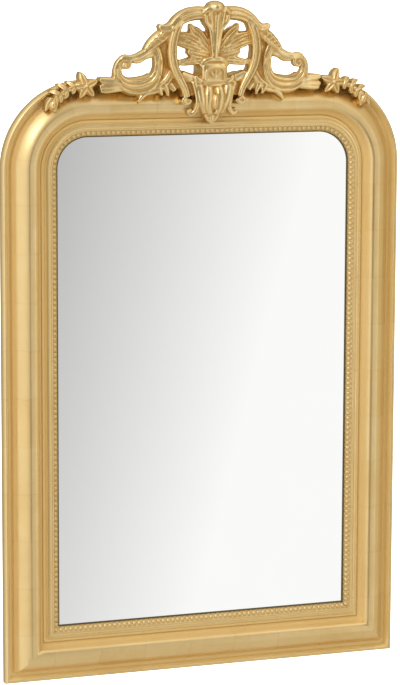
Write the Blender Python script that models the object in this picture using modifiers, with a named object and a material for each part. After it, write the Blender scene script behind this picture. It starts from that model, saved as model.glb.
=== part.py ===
"""Gilded wall mirror with a rounded top, a cast openwork crest and two flower sprays.

Metres, +Z up. The mirror faces -Y and its flat back lies in the plane Y = 0. The origin is on the back of
the top rail, on the centre line, where the mirror bears on the wall that it hangs on.
"""

import math

import bmesh
import bpy
import numpy as np
from mathutils import Vector

# Frame sizes
FRAME_WIDTH = 0.700
FRAME_HEIGHT = 1.005
RAIL_WIDTH = 0.094
CORNER_RADIUS = 0.146
CORNER_STEPS = 13
MOUNT_DROP = 0.047

# Moulding profile, across the rail from its outer edge and forward from the wall
LIP_WIDTH = 0.0090
LIP_HEIGHT = 0.0205
LIP_SPRING = 0.0130
FILLET_HEIGHT = 0.0068
FILLET_END = 0.0146
QUIRK_HEIGHT = 0.0055
BAND_START = 0.0178
BAND_RADIUS = 0.0420
SHOULDER_RADIUS = 0.0067
SHOULDER_TURN = 22.0
SHOULDER_PLACE = 0.0425
CROWN_PLACE = 0.0490
CROWN_FALL = 0.0003
INNER_RADIUS = 0.0091
INNER_TURN = 61.0
CROWN_HEIGHT = 0.0355
BAND_END = 0.0655
BAND_INNER = 0.0150
GROOVE_HEIGHT = 0.0130
STEP_START = 0.0664
STEP_HEIGHT = 0.0162
STEP_END = 0.0704
SIGHT_FLAT_HEIGHT = 0.0231
SIGHT_FLAT_START = 0.0728
SIGHT_FLAT_END = 0.0842
BEAD_PLACE = 0.0880
BEAD_RADIUS = 0.0034
BEAD_SEAT = 0.0201
SIGHT_LIP_HEIGHT = 0.0220

# Glass and backboard
REBATE_WIDTH = 0.0080
GLASS_FRONT = 0.0146
GLASS_THICKNESS = 0.0040
BOARD_THICKNESS = 0.0030
CLEARANCE = 0.0003

# Crest sizes, and the carver's drawing that its strokes are placed on
CREST_HALF = 0.194
CREST_RISE = 0.127
CREST_DEPTH = 0.066
DRAWN_HALF = 194.0
DRAWN_RISE = 126.0
DRAWN_DEPTH = 58.0
STROKE_FULLNESS = 1.08
CREST_FOOT = 0.0085
CREST_THROAT = 0.0320
CREST_LEAN = 0.0120
ORNAMENT_SHIFT = 0.0030

# Flower spray sizes
SPRAY_GAP = 0.0235
SPRAY_PLACE = CREST_HALF + SPRAY_GAP
SPRAY_DROP = 0.0085
SPRAY_DEPTH = 0.047
SPRAY_REACH = 0.053
SPRAY_FALL = 0.0210
STEM_WIDTH = 0.0075
BUTTON_RADIUS = 0.0045
PETAL_LENGTH = 0.0265
PETAL_WIDTH = 0.0150
PETAL_FALL = 0.0080
LEAF_LENGTH = 0.0185
LEAF_WIDTH = 0.0095
BUD_LENGTH = 0.0260
BUD_WIDTH = 0.0170

# Fineness of the cast pieces
CREST_GRAIN = 0.0017
SPRAY_GRAIN = 0.0014
CREST_FACES = 4300
SPRAY_FACES = 1000

TOP_EDGE = MOUNT_DROP


def clear_scene():
    """Removes whatever stands in the scene before the part is built."""
    for old in list(bpy.data.objects):
        bpy.data.objects.remove(old, do_unlink=True)


def add_object(name, bm, collection):
    """Makes one named object from a finished mesh, its faces turned outward."""
    bmesh.ops.recalc_face_normals(bm, faces=bm.faces)
    mesh = bpy.data.meshes.new(name)
    bm.to_mesh(mesh)
    bm.free()
    made = bpy.data.objects.new(name, mesh)
    collection.objects.link(made)
    return made


def finish(name, colour, roughness, metallic):
    """A plain Principled finish in the colour of the piece."""
    made = bpy.data.materials.new(name)
    made.use_nodes = True
    shader = made.node_tree.nodes["Principled BSDF"]
    shader.inputs["Base Color"].default_value = (*colour, 1.0)
    shader.inputs["Roughness"].default_value = roughness
    shader.inputs["Metallic"].default_value = metallic
    made.diffuse_color = (*colour, 1.0)
    return made


# Frame

def ring_stations(inset):
    """Places round the frame on a line set in from its outer edge, each with its inward direction.

    The two lower corners are mitred, so their direction is longer. The two upper ones are arcs.
    """
    half = FRAME_WIDTH / 2
    low = TOP_EDGE - FRAME_HEIGHT
    arc_x = half - CORNER_RADIUS
    arc_z = TOP_EDGE - CORNER_RADIUS
    found = [((-half, low), (1.0, 1.0)), ((half, low), (-1.0, 1.0))]
    for side in (1, -1):
        turns = range(CORNER_STEPS + 1)
        for k in turns if side > 0 else reversed(turns):
            angle = 0.5 * math.pi * k / CORNER_STEPS
            out_x = side * math.cos(angle)
            out_z = math.sin(angle)
            place = (side * arc_x + CORNER_RADIUS * out_x, arc_z + CORNER_RADIUS * out_z)
            found.append((place, (-out_x, -out_z)))
    return [(x + inset * dx, z + inset * dz, dx, dz) for (x, z), (dx, dz) in found]


def sweep_ring(name, section, collection):
    """Carries a closed section of (across, forward) places round the frame's outline."""
    bm = bmesh.new()
    rings = []
    for x, z, dx, dz in ring_stations(0.0):
        rings.append([bm.verts.new((x + u * dx, -h, z + u * dz)) for u, h in section])
    for k, ring in enumerate(rings):
        after = rings[(k + 1) % len(rings)]
        for j in range(len(section)):
            i = (j + 1) % len(section)
            bm.faces.new((ring[j], ring[i], after[i], after[j]))
    return add_object(name, bm, collection)


def lip_line(steps, grow=0.0):
    """The rounded outer lip, from its outer spring to its inner one."""
    middle = LIP_WIDTH / 2
    line = []
    for k in range(steps + 1):
        angle = math.pi * k / steps
        across = middle - (middle + grow) * math.cos(angle)
        line.append((across, LIP_SPRING + (LIP_HEIGHT - LIP_SPRING + grow) * math.sin(angle)))
    return line


def band_line(outer, shoulder, inner):
    """The broad convex band: a long arc up its outer side, a tight shoulder, a flat crown, and a round turn
    into a straight inner slope."""
    turn = math.radians(SHOULDER_TURN)
    reach = BAND_RADIUS - SHOULDER_RADIUS
    middle_x = SHOULDER_PLACE + reach * math.sin(turn)
    middle_h = CROWN_HEIGHT - SHOULDER_RADIUS - reach * math.cos(turn)
    foot = math.asin(min(1.0, (middle_x - BAND_START) / BAND_RADIUS))
    line = []
    for k in range(outer + 1):
        angle = foot + (turn - foot) * k / outer
        line.append((middle_x - BAND_RADIUS * math.sin(angle), middle_h + BAND_RADIUS * math.cos(angle)))
    for k in range(1, shoulder + 1):
        angle = turn * (1.0 - k / shoulder)
        line.append((SHOULDER_PLACE - SHOULDER_RADIUS * math.sin(angle), CROWN_HEIGHT - SHOULDER_RADIUS * (1.0 - math.cos(angle))))
    for k in range(inner + 1):
        angle = math.radians(INNER_TURN) * k / inner
        height = CROWN_HEIGHT - CROWN_FALL - INNER_RADIUS * (1.0 - math.cos(angle))
        line.append((CROWN_PLACE + INNER_RADIUS * math.sin(angle), height))
    return line + [(BAND_END, BAND_INNER)]


def moulding_section():
    """The closed section of the moulding: front profile, sight edge, rebate and flat back."""
    line = [(0.0, 0.0)]
    line += lip_line(6)
    line += [(LIP_WIDTH + 0.0008, FILLET_HEIGHT), (FILLET_END, FILLET_HEIGHT)]
    line += [(FILLET_END + 0.0006, QUIRK_HEIGHT), (BAND_START - 0.0006, QUIRK_HEIGHT)]
    line += band_line(4, 1, 5)
    line += [(BAND_END + 0.0002, GROOVE_HEIGHT), (STEP_START - 0.0003, GROOVE_HEIGHT)]
    line += [(STEP_START, STEP_HEIGHT), (STEP_END, STEP_HEIGHT + 0.0008)]
    line += [(STEP_END + 0.0006, STEP_HEIGHT - 0.0006), (SIGHT_FLAT_START - 0.0006, STEP_HEIGHT - 0.0006)]
    line += [(SIGHT_FLAT_START, SIGHT_FLAT_HEIGHT), (SIGHT_FLAT_END, SIGHT_FLAT_HEIGHT + 0.0004)]
    for k in range(6):
        angle = math.pi * k / 5
        across = BEAD_PLACE - BEAD_RADIUS * math.cos(angle)
        line.append((across, BEAD_SEAT + BEAD_RADIUS * math.sin(angle)))
    line += [(BEAD_PLACE + BEAD_RADIUS + 0.0004, SIGHT_LIP_HEIGHT), (RAIL_WIDTH, SIGHT_LIP_HEIGHT)]
    line += [(RAIL_WIDTH, GLASS_FRONT + CLEARANCE)]
    line += [(RAIL_WIDTH - REBATE_WIDTH, GLASS_FRONT + CLEARANCE), (RAIL_WIDTH - REBATE_WIDTH, 0.0)]
    return line


def seat_section():
    """The room kept clear of the cast pieces: the moulding's front bridged over its hollows, and air behind the lip."""
    far = 0.090
    gap = CLEARANCE
    lip_top = LIP_HEIGHT + gap * 1.5
    line = [(-far, -0.010), (-far, lip_top), (LIP_WIDTH * 0.75, lip_top)]
    for across, height in band_line(4, 1, 5):
        if across <= SHOULDER_PLACE and height > LIP_HEIGHT:
            line.append((across - gap, height + gap * 1.8))
        if CROWN_PLACE <= across < BAND_END:
            line.append((across + gap * 2.0, height + gap * 1.8))
    line += [(BAND_END - gap * 3.0, STEP_HEIGHT + gap * 6.5)]
    line += [(SIGHT_FLAT_START - gap * 3.0, SIGHT_FLAT_HEIGHT + gap * 3.0)]
    line += [(RAIL_WIDTH, SIGHT_FLAT_HEIGHT + gap * 4.0), (RAIL_WIDTH, -0.010)]
    return line


def plate(name, inset, front, thickness, collection):
    """A flat sheet in the frame's outline, set in from the outer edge."""
    bm = bmesh.new()
    ring = ring_stations(inset)
    near = [bm.verts.new((x, -front, z)) for x, z, dx, dz in ring]
    face = bm.faces.new(near)
    made = bmesh.ops.extrude_face_region(bm, geom=[face])
    moved = [item for item in made["geom"] if isinstance(item, bmesh.types.BMVert)]
    bmesh.ops.translate(bm, verts=moved, vec=(0.0, thickness, 0.0))
    return add_object(name, bm, collection)


# Carving strokes

def smooth_line(points, count):
    """A smooth curve through a few places, each with any number of values, at even steps along its length."""
    pts = np.array(points, dtype=float)
    ends = np.vstack([2 * pts[0] - pts[1], pts, 2 * pts[-1] - pts[-2]])
    fine = []
    for k in range(1, len(ends) - 2):
        a, b, c, d = ends[k - 1], ends[k], ends[k + 1], ends[k + 2]
        for t in np.arange(16) / 16.0:
            fine.append(0.5 * (2 * b + (c - a) * t + (2 * a - 5 * b + 4 * c - d) * t ** 2 + (3 * b - 3 * c + d - a) * t ** 3))
    fine.append(pts[-1])
    fine = np.array(fine)
    run = np.concatenate([[0.0], np.cumsum(np.linalg.norm(np.diff(fine[:, :2], axis=0), axis=1))])
    want = np.linspace(0.0, run[-1], count)
    return np.stack([np.interp(want, run, fine[:, k]) for k in range(fine.shape[1])], axis=1)


def stroke(bm, points, back, ridges=1, groove=0.16, places=0, across=0):
    """One carved stroke, a bar that follows (x, z, width, front) places and is ridged along its front.

    back is how far in front of the wall its flat back lies, as a function of z.
    """
    line = smooth_line(points, places or 5 + 3 * len(points))
    along = np.gradient(line[:, :2], axis=0)
    along /= np.maximum(np.linalg.norm(along, axis=1, keepdims=True), 1e-9)
    steps = across or max(6, 4 * ridges)
    rings = []
    for (x, z, width, front), (tx, tz) in zip(line, along):
        behind = min(back(z), front - 0.35 * width - 0.001)
        ring = []
        for k in range(steps + 1):
            t = 2.0 * k / steps - 1.0
            dome = math.sqrt(max(0.0, 1.0 - abs(t) ** 2.6))
            flute = groove * (0.5 - 0.5 * math.cos(math.pi * ridges * (t + 1.0))) if ridges > 1 else groove
            rise = 0.5 * width * (dome * (1.0 + (flute - groove)) - 1.0)
            ring.append((x + tz * t * width / 2, -(front + rise), z - tx * t * width / 2))
        ring.append((x + tz * width / 2 * 0.94, -behind, z - tx * width / 2 * 0.94))
        ring.append((x - tz * width / 2 * 0.94, -behind, z + tx * width / 2 * 0.94))
        rings.append([bm.verts.new(place) for place in ring])
    for near, far in zip(rings, rings[1:]):
        for j in range(len(near)):
            i = (j + 1) % len(near)
            bm.faces.new((near[j], near[i], far[i], far[j]))
    bm.faces.new(rings[0])
    bm.faces.new(rings[-1])


def dome(bm, x, z, half_x, half_z, front, back, squared=1.0):
    """A raised boss, oval or, with a smaller power, squared."""
    made = bmesh.ops.create_uvsphere(bm, u_segments=24, v_segments=12, radius=1.0)
    for vert in made["verts"]:
        a, b, c = (math.copysign(abs(value) ** squared, value) for value in vert.co)
        vert.co = Vector((x + a * half_x, -back + b * (front - back), z + c * half_z))


def volute(centre, start, radius, turns, side, count=9):
    """Places on a scroll's curl that winds in to its eye, from a start angle in degrees."""
    found = []
    for k in range(count):
        share = k / (count - 1)
        angle = math.radians(start) + side * share * turns * 2 * math.pi
        reach = radius * (1.0 - 0.72 * share)
        found.append((centre[0] + reach * math.cos(angle), centre[1] + reach * math.sin(angle)))
    return found


def settle_back(bm, side):
    """Puts a heap of strokes on its side of the centre line, and keeps it off the wall."""
    for vert in bm.verts:
        vert.co.x = vert.co.x * side + ORNAMENT_SHIFT
        vert.co.y = min(vert.co.y, -CREST_FOOT * 0.5)


# Crest

def crest_back(z):
    """The crest's plain back: deep where it lies in the moulding, and leaning forward where it stands free."""
    rise = (z - TOP_EDGE) / CREST_RISE
    if rise < 0.04:
        return CREST_FOOT
    return CREST_THROAT + CREST_LEAN * rise


def drawn(side, places):
    """Turns (across, up, width, front) marks of the drawing into metres on one side of the centre line."""
    sx = CREST_HALF / DRAWN_HALF
    sz = CREST_RISE / DRAWN_RISE
    sy = CREST_DEPTH / DRAWN_DEPTH
    wide = STROKE_FULLNESS * 0.5 * (sx + sz)
    return [(side * u * sx, TOP_EDGE + w * sz, b * wide, d * sy) for u, w, b, d in places]


def crest_scrolls(bm, side):
    """The large scrolls of one side: shoulder arch, long S-scroll, side ring, foot and their links."""
    arms = [
        (3, [(5, 105, 16, 56), (22, 107, 21, 57), (40, 106, 22, 57), (55, 101, 21, 56), (67, 92, 19, 55), (76, 82, 16, 54)]),
        (2, [(60, 97, 14, 55), (72, 88, 15, 54), (82, 83, 14, 53), (91, 84, 11, 52), (97, 88, 6, 50)]),
        (2, [(60, 94, 13, 54), (69, 76, 16, 54), (73, 57, 17, 53), (73, 38, 17, 52), (69, 20, 16, 51), (60, 2, 15, 50),
             (51, -14, 13, 49), (46, -29, 11, 48)]),
        (2, [(74, 86, 11, 53), (85, 74, 21, 51), (97, 65, 22, 50), (108, 56, 18, 48), (118, 47, 10, 46)]),
        (1, [(82, 62, 12, 43), (87, 46, 13, 40), (87, 26, 13, 39), (83, 8, 13, 39), (74, -6, 13, 39), (64, -18, 10, 39)]),
        (1, [(104, 50, 11, 45), (118, 43, 13, 45), (131, 37, 12, 44), (142, 35, 11, 44), (152, 36, 11, 43), (158, 33, 10, 42)]),
        (1, [(118, 36, 8, 42), (128, 31, 9, 42), (138, 30, 7, 42)]),
        (3, [(101, 54, 12, 46), (96, 38, 16, 46), (95, 20, 17, 45), (99, 5, 20, 44), (108, -5, 26, 43), (123, -11, 30, 42),
             (140, -11, 28, 41), (153, -6, 24, 41), (162, 4, 19, 41), (164, 16, 15, 41), (161, 27, 13, 42), (154, 35, 11, 42)]),
        (1, [(100, 46, 11, 44), (109, 41, 12, 44), (119, 37, 9, 43)]),
        (1, [(157, -4, 12, 40), (170, -2, 12, 40), (182, -1, 12, 39), (194, 1, 7, 38)]),
        (1, [(157, -9, 13, 39), (172, -9, 14, 39), (184, -10, 12, 38), (194, -11, 6, 37)]),
        (1, [(155, -13, 11, 38), (170, -14.5, 12, 38), (182, -16, 11, 37), (192, -17, 6, 36)]),
        (2, [(70, 20, 12, 45), (76, 4, 16, 43), (87, -9, 17, 42), (102, -17, 14, 41), (118, -21, 9, 40)]),
        (1, [(110, -18, 10, 40), (119, -25, 9, 39), (125, -32, 6, 38), (127, -37, 3, 37)]),
        (1, [(84, -8, 9, 42), (79, -18, 8, 41), (77, -27, 3, 40)]),
        (1, [(94, -12, 9, 42), (90, -20, 7, 41), (87, -26, 3, 40)]),
    ]
    for ridges, places in arms:
        stroke(bm, drawn(side, places), crest_back, ridges)
    curls = [((49, -33), 178, 8.0, 0.80, 1, 8, 47), ((151, 25), 80, 9.0, 0.95, 1, 7, 43), ((91, 83), 60, 4.5, 0.5, -1, 6, 51)]
    for centre, start, radius, turns, hand, width, front in curls:
        places = [(u, w, width * (1 - 0.07 * k), front) for k, (u, w) in enumerate(volute(centre, start, radius, turns, hand))]
        stroke(bm, drawn(side, places), crest_back)
        x, z, size, high = drawn(side, [(*centre, radius, front)])[0]
        dome(bm, x, z, size * 0.62, size * 0.62, high, high - 1.4 * size)


def crest_shell(bm, side):
    """The broad lobes of the shell on one side, fanned from the middle of the crest, and the web behind them."""
    lobes = [
        [(6, 46, 9, 47), (17, 60, 15, 50), (28, 73, 18, 51), (37, 81, 14, 49), (42, 90, 4, 46)],
        [(8, 44, 9, 47), (26, 58, 16, 50), (42, 67, 17, 51), (56, 71, 13, 48), (66, 72, 8, 46)],
        [(8, 42, 9, 47), (26, 49, 14, 50), (42, 55, 15, 50), (56, 59, 13, 48), (66, 61, 9, 46)],
        [(8, 38, 10, 47), (24, 40, 15, 50), (37, 43, 15, 50), (46, 46, 7, 47)],
        [(8, 34, 10, 47), (24, 31, 14, 49), (40, 29, 13, 49), (54, 27, 10, 47), (62, 28, 8, 46)],
    ]
    for places in lobes:
        stroke(bm, drawn(side, places), crest_back, 3, 0.22)
    web = [[(2, 50, 26, 43), (16, 66, 22, 43), (28, 72, 14, 43)], [(4, 40, 26, 43), (22, 44, 26, 43), (36, 46, 16, 43)]]
    for places in web:
        stroke(bm, drawn(side, places), crest_back)


def crest_plume(bm, side):
    """One side of the fluted plume that rises to the rolled top."""
    for foot, head, top, wide in ((2, 4, 113, 6.5), (4.5, 10.5, 110, 7), (6, 18, 104, 7.5)):
        places = [(foot * 0.5, 38, wide * 0.7, 51), (foot * 0.8, 58, wide * 0.8, 54), (foot + 1, 80, wide, 56),
                  (head, top - 10, wide, 59), (head * 1.1, top, wide * 0.8, 61)]
        stroke(bm, drawn(side, places), crest_back)
    places = [(7, 113, 9, 61), (14, 114, 9, 61), (20, 110, 8, 59), (22, 104, 6, 57)]
    stroke(bm, drawn(side, places), crest_back)


def crest_apron(bm, side):
    """One side of the pendant apron: fluted leaves, side scroll, petals and rim."""
    arms = [
        [(7, -7, 12, 45), (9, -18, 14, 51), (10, -32, 14, 53), (9, -46, 12, 50), (5, -58, 8, 46)],
        [(22, -3, 13, 45), (25, -13, 15, 50), (23, -27, 14, 51), (19, -41, 12, 49), (14, -56, 8, 44)],
        [(43, 4, 13, 41), (41, -12, 13, 41), (38, -27, 10, 41)],
        [(35, -4, 10, 49), (31, -20, 9, 49), (28, -36, 9, 48), (30, -50, 8, 44), (37, -57, 7, 42), (42, -53, 5, 41), (38, -48, 4, 41)],
        [(7, -50, 9, 42), (9, -60, 8, 39), (4, -70, 4, 36)],
        [(24, -1, 13, 46), (42, 2, 16, 47), (56, 8, 14, 47)],
        [(0, 33, 9, 52), (11, 32, 9, 52), (19, 28, 8, 50), (23, 20, 7, 47)],
        [(22, -4, 9, 50), (30, 0, 8, 50), (33, 6, 5, 49)],
    ]
    for places in arms:
        stroke(bm, drawn(side, places), crest_back)


def build_crest(collection):
    """The whole crest as one heap of overlapping strokes, before it is fused."""
    bm = bmesh.new()
    for side in (1, -1):
        crest_scrolls(bm, side)
        crest_shell(bm, side)
        crest_plume(bm, side)
        crest_apron(bm, side)
    single = [
        [(0, 36, 10, 52), (0, 60, 9, 55), (0, 84, 8, 58), (0, 104, 8, 61)],
        [(0, -8, 9, 45), (0, -22, 10, 47), (0, -36, 10, 47)],
        [(0, -48, 10, 43), (0, -62, 11, 40), (0, -72, 7, 37), (0, -75, 3, 35)],
        [(-20, -6, 8, 48), (0, -9, 8, 49), (20, -6, 8, 48)],
    ]
    for places in single:
        stroke(bm, drawn(1, places), crest_back)
    bosses = [(117, 16, 11, 66, 46, 1.0), (-36, 6.5, 14, 58, 46, 1.0), (10, 23.5, 17.5, 51, 30, 0.3), (10, 26, 22, 43, 24, 0.5)]
    for up, half_x, half_z, front, behind, squared in bosses:
        x, z, wide, high = drawn(1, [(0.0, up, 1.0, front)])[0]
        sx = CREST_HALF / DRAWN_HALF
        sz = CREST_RISE / DRAWN_RISE
        low = behind * CREST_DEPTH / DRAWN_DEPTH
        dome(bm, x, z, half_x * sx, half_z * sz, high, low, squared)
    settle_back(bm, 1)
    return add_object("crest_strokes", bm, collection)


# Flower sprays

def spray_back(z):
    """The sprays lie in the moulding, so their back is cut to it."""
    return CREST_FOOT if z < TOP_EDGE else LIP_HEIGHT + CLEARANCE * 3.0


def leaf(bm, root, angle, length, width, front, fall, cup=0.0):
    """A pointed leaf or petal from its root, its tip falling back towards the frame."""
    turn = math.radians(angle)
    places = []
    for share, wide in ((0.0, 0.35), (0.25, 0.85), (0.5, 1.0), (0.78, 0.72), (1.0, 0.16)):
        bend = cup * length * math.sin(math.pi * share)
        x = root[0] + length * share * math.cos(turn) - bend * math.sin(turn)
        z = root[1] + length * share * math.sin(turn) + bend * math.cos(turn)
        places.append((x, z, width * wide, front - fall * share * share))
    stroke(bm, places, spray_back, 2, 0.3, places=11, across=8)


def build_spray(collection, side):
    """One spray: a five-petalled flower, paired leaves on a bent stem and a bud at its end."""
    bm = bmesh.new()
    middle = (SPRAY_PLACE, TOP_EDGE - SPRAY_DROP)
    for angle, stretch in ((68, 0.92), (160, 0.84), (229, 0.84), (296, 0.82), (357, 0.86)):
        leaf(bm, middle, angle, PETAL_LENGTH * stretch, PETAL_WIDTH, SPRAY_DEPTH, PETAL_FALL)
    dome(bm, *middle, BUTTON_RADIUS, BUTTON_RADIUS, SPRAY_DEPTH + BUTTON_RADIUS * 0.45, SPRAY_DEPTH - PETAL_FALL)
    stem = [(*middle, STEM_WIDTH, SPRAY_DEPTH - PETAL_FALL * 0.5)]
    knots = []
    for out, fall in ((0.38, 0.14), (0.60, 0.38), (0.81, 0.67), (1.0, 1.0)):
        knots.append((middle[0] + out * SPRAY_REACH, middle[1] - fall * SPRAY_FALL))
    for knot in knots:
        stem.append((*knot, STEM_WIDTH, SPRAY_DEPTH - PETAL_FALL * 0.75))
    stroke(bm, stem, spray_back)
    leaf_front = SPRAY_DEPTH - PETAL_FALL * 0.4
    for knot, upper, lower, grow in ((0, 40, -78, 0.8), (1, 34, -74, 1.0), (2, 16, -92, 1.0)):
        leaf(bm, knots[knot], upper, LEAF_LENGTH * grow, LEAF_WIDTH, leaf_front, PETAL_FALL * 1.1, 0.10)
        leaf(bm, knots[knot], lower, LEAF_LENGTH * grow * 0.72, LEAF_WIDTH, leaf_front, PETAL_FALL * 0.75, -0.08)
    x, z = knots[-1]
    bud_front = SPRAY_DEPTH - BUD_WIDTH * 0.12
    dome(bm, x + BUD_WIDTH * 0.12, z - BUD_LENGTH * 0.32, BUD_WIDTH * 0.46, BUD_LENGTH * 0.42, bud_front, bud_front - BUD_WIDTH)
    for angle, shift in ((-80, -0.26), (-96, 0.0), (-68, 0.32)):
        root = (x + shift * BUD_WIDTH, z + BUD_LENGTH * 0.12)
        leaf(bm, root, angle, BUD_LENGTH * 0.92, BUD_WIDTH * 0.55, bud_front - BUD_WIDTH * 0.12, PETAL_FALL * 0.75)
    settle_back(bm, side)
    return add_object("spray_strokes", bm, collection)


# Fusing and seating

def settled(obj):
    """The object's mesh with its modifiers worked out, in place of the old one."""
    bpy.context.view_layer.update()
    graph = bpy.context.evaluated_depsgraph_get()
    fresh = bpy.data.meshes.new_from_object(obj.evaluated_get(graph))
    obj.modifiers.clear()
    obj.data = fresh
    return fresh


def put_in_order(mesh):
    """Sorts vertices and faces by place, so that every build gives the same mesh."""
    places = np.array([tuple(v.co) for v in mesh.vertices])
    order = np.lexsort(np.round(places, 7).T)
    rank = np.empty(len(order), dtype=int)
    rank[order] = np.arange(len(order))
    faces = []
    for poly in mesh.polygons:
        corner = [int(rank[k]) for k in poly.vertices]
        first = corner.index(min(corner))
        faces.append(tuple(corner[first:] + corner[:first]))
    faces.sort()
    fresh = bpy.data.meshes.new(mesh.name)
    fresh.from_pydata([tuple(p) for p in places[order]], [], faces)
    fresh.update()
    return fresh


def largest_piece(mesh):
    """Keeps only the largest joined piece of a mesh."""
    bm = bmesh.new()
    bm.from_mesh(mesh)
    bm.verts.ensure_lookup_table()
    seen = set()
    groups = []
    for vert in bm.verts:
        if vert.index in seen:
            continue
        group = [vert]
        seen.add(vert.index)
        for member in group:
            for edge in member.link_edges:
                other = edge.other_vert(member)
                if other.index not in seen:
                    seen.add(other.index)
                    group.append(other)
        groups.append(group)
    groups.sort(key=len)
    dropped = [vert for group in groups[:-1] for vert in group]
    bmesh.ops.delete(bm, geom=dropped, context="VERTS")
    bm.to_mesh(mesh)
    bm.free()


def fuse(strokes, name, grain, faces, seat, collection):
    """Fuses a heap of strokes into one casting, thins its faces and cuts its back to the moulding."""
    skin = strokes.modifiers.new("skin", "REMESH")
    skin.mode = "VOXEL"
    skin.voxel_size = grain
    skin.adaptivity = 0.0
    soft = strokes.modifiers.new("soft", "SMOOTH")
    soft.factor = 0.5
    soft.iterations = 2
    settled(strokes)
    strokes.data = put_in_order(strokes.data)
    largest_piece(strokes.data)
    tri = strokes.modifiers.new("tri", "TRIANGULATE")
    thin = strokes.modifiers.new("thin", "DECIMATE")
    settled_count = sum(len(p.vertices) - 2 for p in strokes.data.polygons)
    thin.ratio = min(1.0, faces / settled_count)
    tri.quad_method = "FIXED"
    settled(strokes)
    cut = strokes.modifiers.new("seat", "BOOLEAN")
    cut.operation = "DIFFERENCE"
    cut.solver = "EXACT"
    cut.use_self = True
    cut.object = seat
    settled(strokes)
    largest_piece(strokes.data)
    bm = bmesh.new()
    bm.from_mesh(strokes.data)
    bmesh.ops.remove_doubles(bm, verts=bm.verts, dist=0.00002)
    bmesh.ops.dissolve_degenerate(bm, edges=bm.edges, dist=0.00002)
    bmesh.ops.triangulate(bm, faces=bm.faces)
    bpy.data.objects.remove(strokes, do_unlink=True)
    made = add_object(name, bm, collection)
    for poly in made.data.polygons:
        poly.use_smooth = False
    return made


def main():
    clear_scene()
    scene = bpy.context.scene
    parts = bpy.data.collections.new("wall_mirror")
    cutters = bpy.data.collections.new("cutters")
    cutters.hide_render = True
    scene.collection.children.link(parts)
    scene.collection.children.link(cutters)

    gilt = finish("gold_leaf", (0.66, 0.43, 0.14), 0.34, 0.85)
    gilt_crest = finish("gold_leaf_crest", (0.70, 0.46, 0.15), 0.30, 0.85)
    gilt_spray = finish("gold_leaf_spray", (0.68, 0.45, 0.15), 0.32, 0.85)
    silver = finish("mirror_glass", (0.86, 0.87, 0.88), 0.02, 1.0)
    board = finish("backboard_brown", (0.30, 0.20, 0.12), 0.75, 0.0)

    frame = sweep_ring("frame", moulding_section(), parts)
    frame.data.materials.append(gilt)
    edge = RAIL_WIDTH - REBATE_WIDTH + CLEARANCE
    glass = plate("mirror_plate", edge, GLASS_FRONT, GLASS_THICKNESS, parts)
    glass.data.materials.append(silver)
    back = plate("backboard", edge, GLASS_FRONT - GLASS_THICKNESS - CLEARANCE, BOARD_THICKNESS, parts)
    back.data.materials.append(board)

    seat = sweep_ring("seat", seat_section(), cutters)
    seat.hide_render = True
    seat.display_type = "WIRE"
    crest = fuse(build_crest(parts), "crest", CREST_GRAIN, CREST_FACES, seat, parts)
    crest.data.materials.append(gilt_crest)
    for side, word in ((-1, "left"), (1, "right")):
        spray = fuse(build_spray(parts, side), "garland_" + word, SPRAY_GRAIN, SPRAY_FACES, seat, parts)
        spray.data.materials.append(gilt_spray)

    for obj in parts.objects:
        count = sum(len(p.vertices) - 2 for p in obj.data.polygons)
        print(obj.name, count, [round(v, 4) for v in obj.dimensions])


main()
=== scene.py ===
# %% [markdown]
# A gilded wall mirror. A broad wooden moulding, rounded at its two upper corners, holds a flat silvered
# glass. A row of small beads runs round the sight edge. A cast openwork crest sits on the top rail, with
# a cast flower spray on each side of it. Every piece is made here in metres, in the frame that the CAD
# model gives: the mirror faces -Y and its flat back lies on the wall at Y = 0.

import math

import bmesh
import bpy
import numpy as np
from mathutils import Matrix, Vector


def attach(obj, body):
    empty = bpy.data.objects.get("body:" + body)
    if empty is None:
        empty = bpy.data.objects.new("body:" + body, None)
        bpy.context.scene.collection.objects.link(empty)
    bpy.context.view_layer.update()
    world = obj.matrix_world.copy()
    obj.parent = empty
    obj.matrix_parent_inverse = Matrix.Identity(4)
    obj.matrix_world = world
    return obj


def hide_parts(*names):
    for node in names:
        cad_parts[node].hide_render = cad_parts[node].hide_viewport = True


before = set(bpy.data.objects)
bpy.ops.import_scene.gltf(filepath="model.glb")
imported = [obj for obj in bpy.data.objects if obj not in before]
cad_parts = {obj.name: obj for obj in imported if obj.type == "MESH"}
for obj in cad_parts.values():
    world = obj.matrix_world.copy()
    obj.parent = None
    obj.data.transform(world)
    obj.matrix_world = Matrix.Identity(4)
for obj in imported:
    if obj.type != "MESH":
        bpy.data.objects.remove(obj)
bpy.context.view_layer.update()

# %% [markdown]
# The camera stands to the left of the mirror and a little above its middle, so the left side of each
# form is seen and the lines of the frame draw together to the right. A long lens keeps that effect small.
# Its place and turn were worked out from the frame's straight edges.

# %% Camera
CAMERA_PLACE = (-1.5604, -4.3348, 0.3113)
CAMERA_YAW = math.radians(19.78)
CAMERA_DROP = math.radians(8.77)
CAMERA_ROLL = math.radians(0.21)
CAMERA_LENS = 145.16


def placed(name, data):
    """A new object that shows the given data, linked to the scene."""
    made = bpy.data.objects.new(name, data)
    bpy.context.scene.collection.objects.link(made)
    return made


def point_camera(camera, place, yaw, drop, roll):
    """Turns a camera by its heading, its drop below the horizon and a small roll."""
    ahead = Vector((math.sin(yaw) * math.cos(drop), math.cos(yaw) * math.cos(drop), -math.sin(drop)))
    level = Vector((math.cos(yaw), -math.sin(yaw), 0.0))
    upright = level.cross(ahead)
    right = level * math.cos(roll) + upright * math.sin(roll)
    up = upright * math.cos(roll) - level * math.sin(roll)
    turn = Matrix((right, up, -ahead)).transposed().to_4x4()
    turn.translation = Vector(place)
    camera.matrix_world = turn


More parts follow.
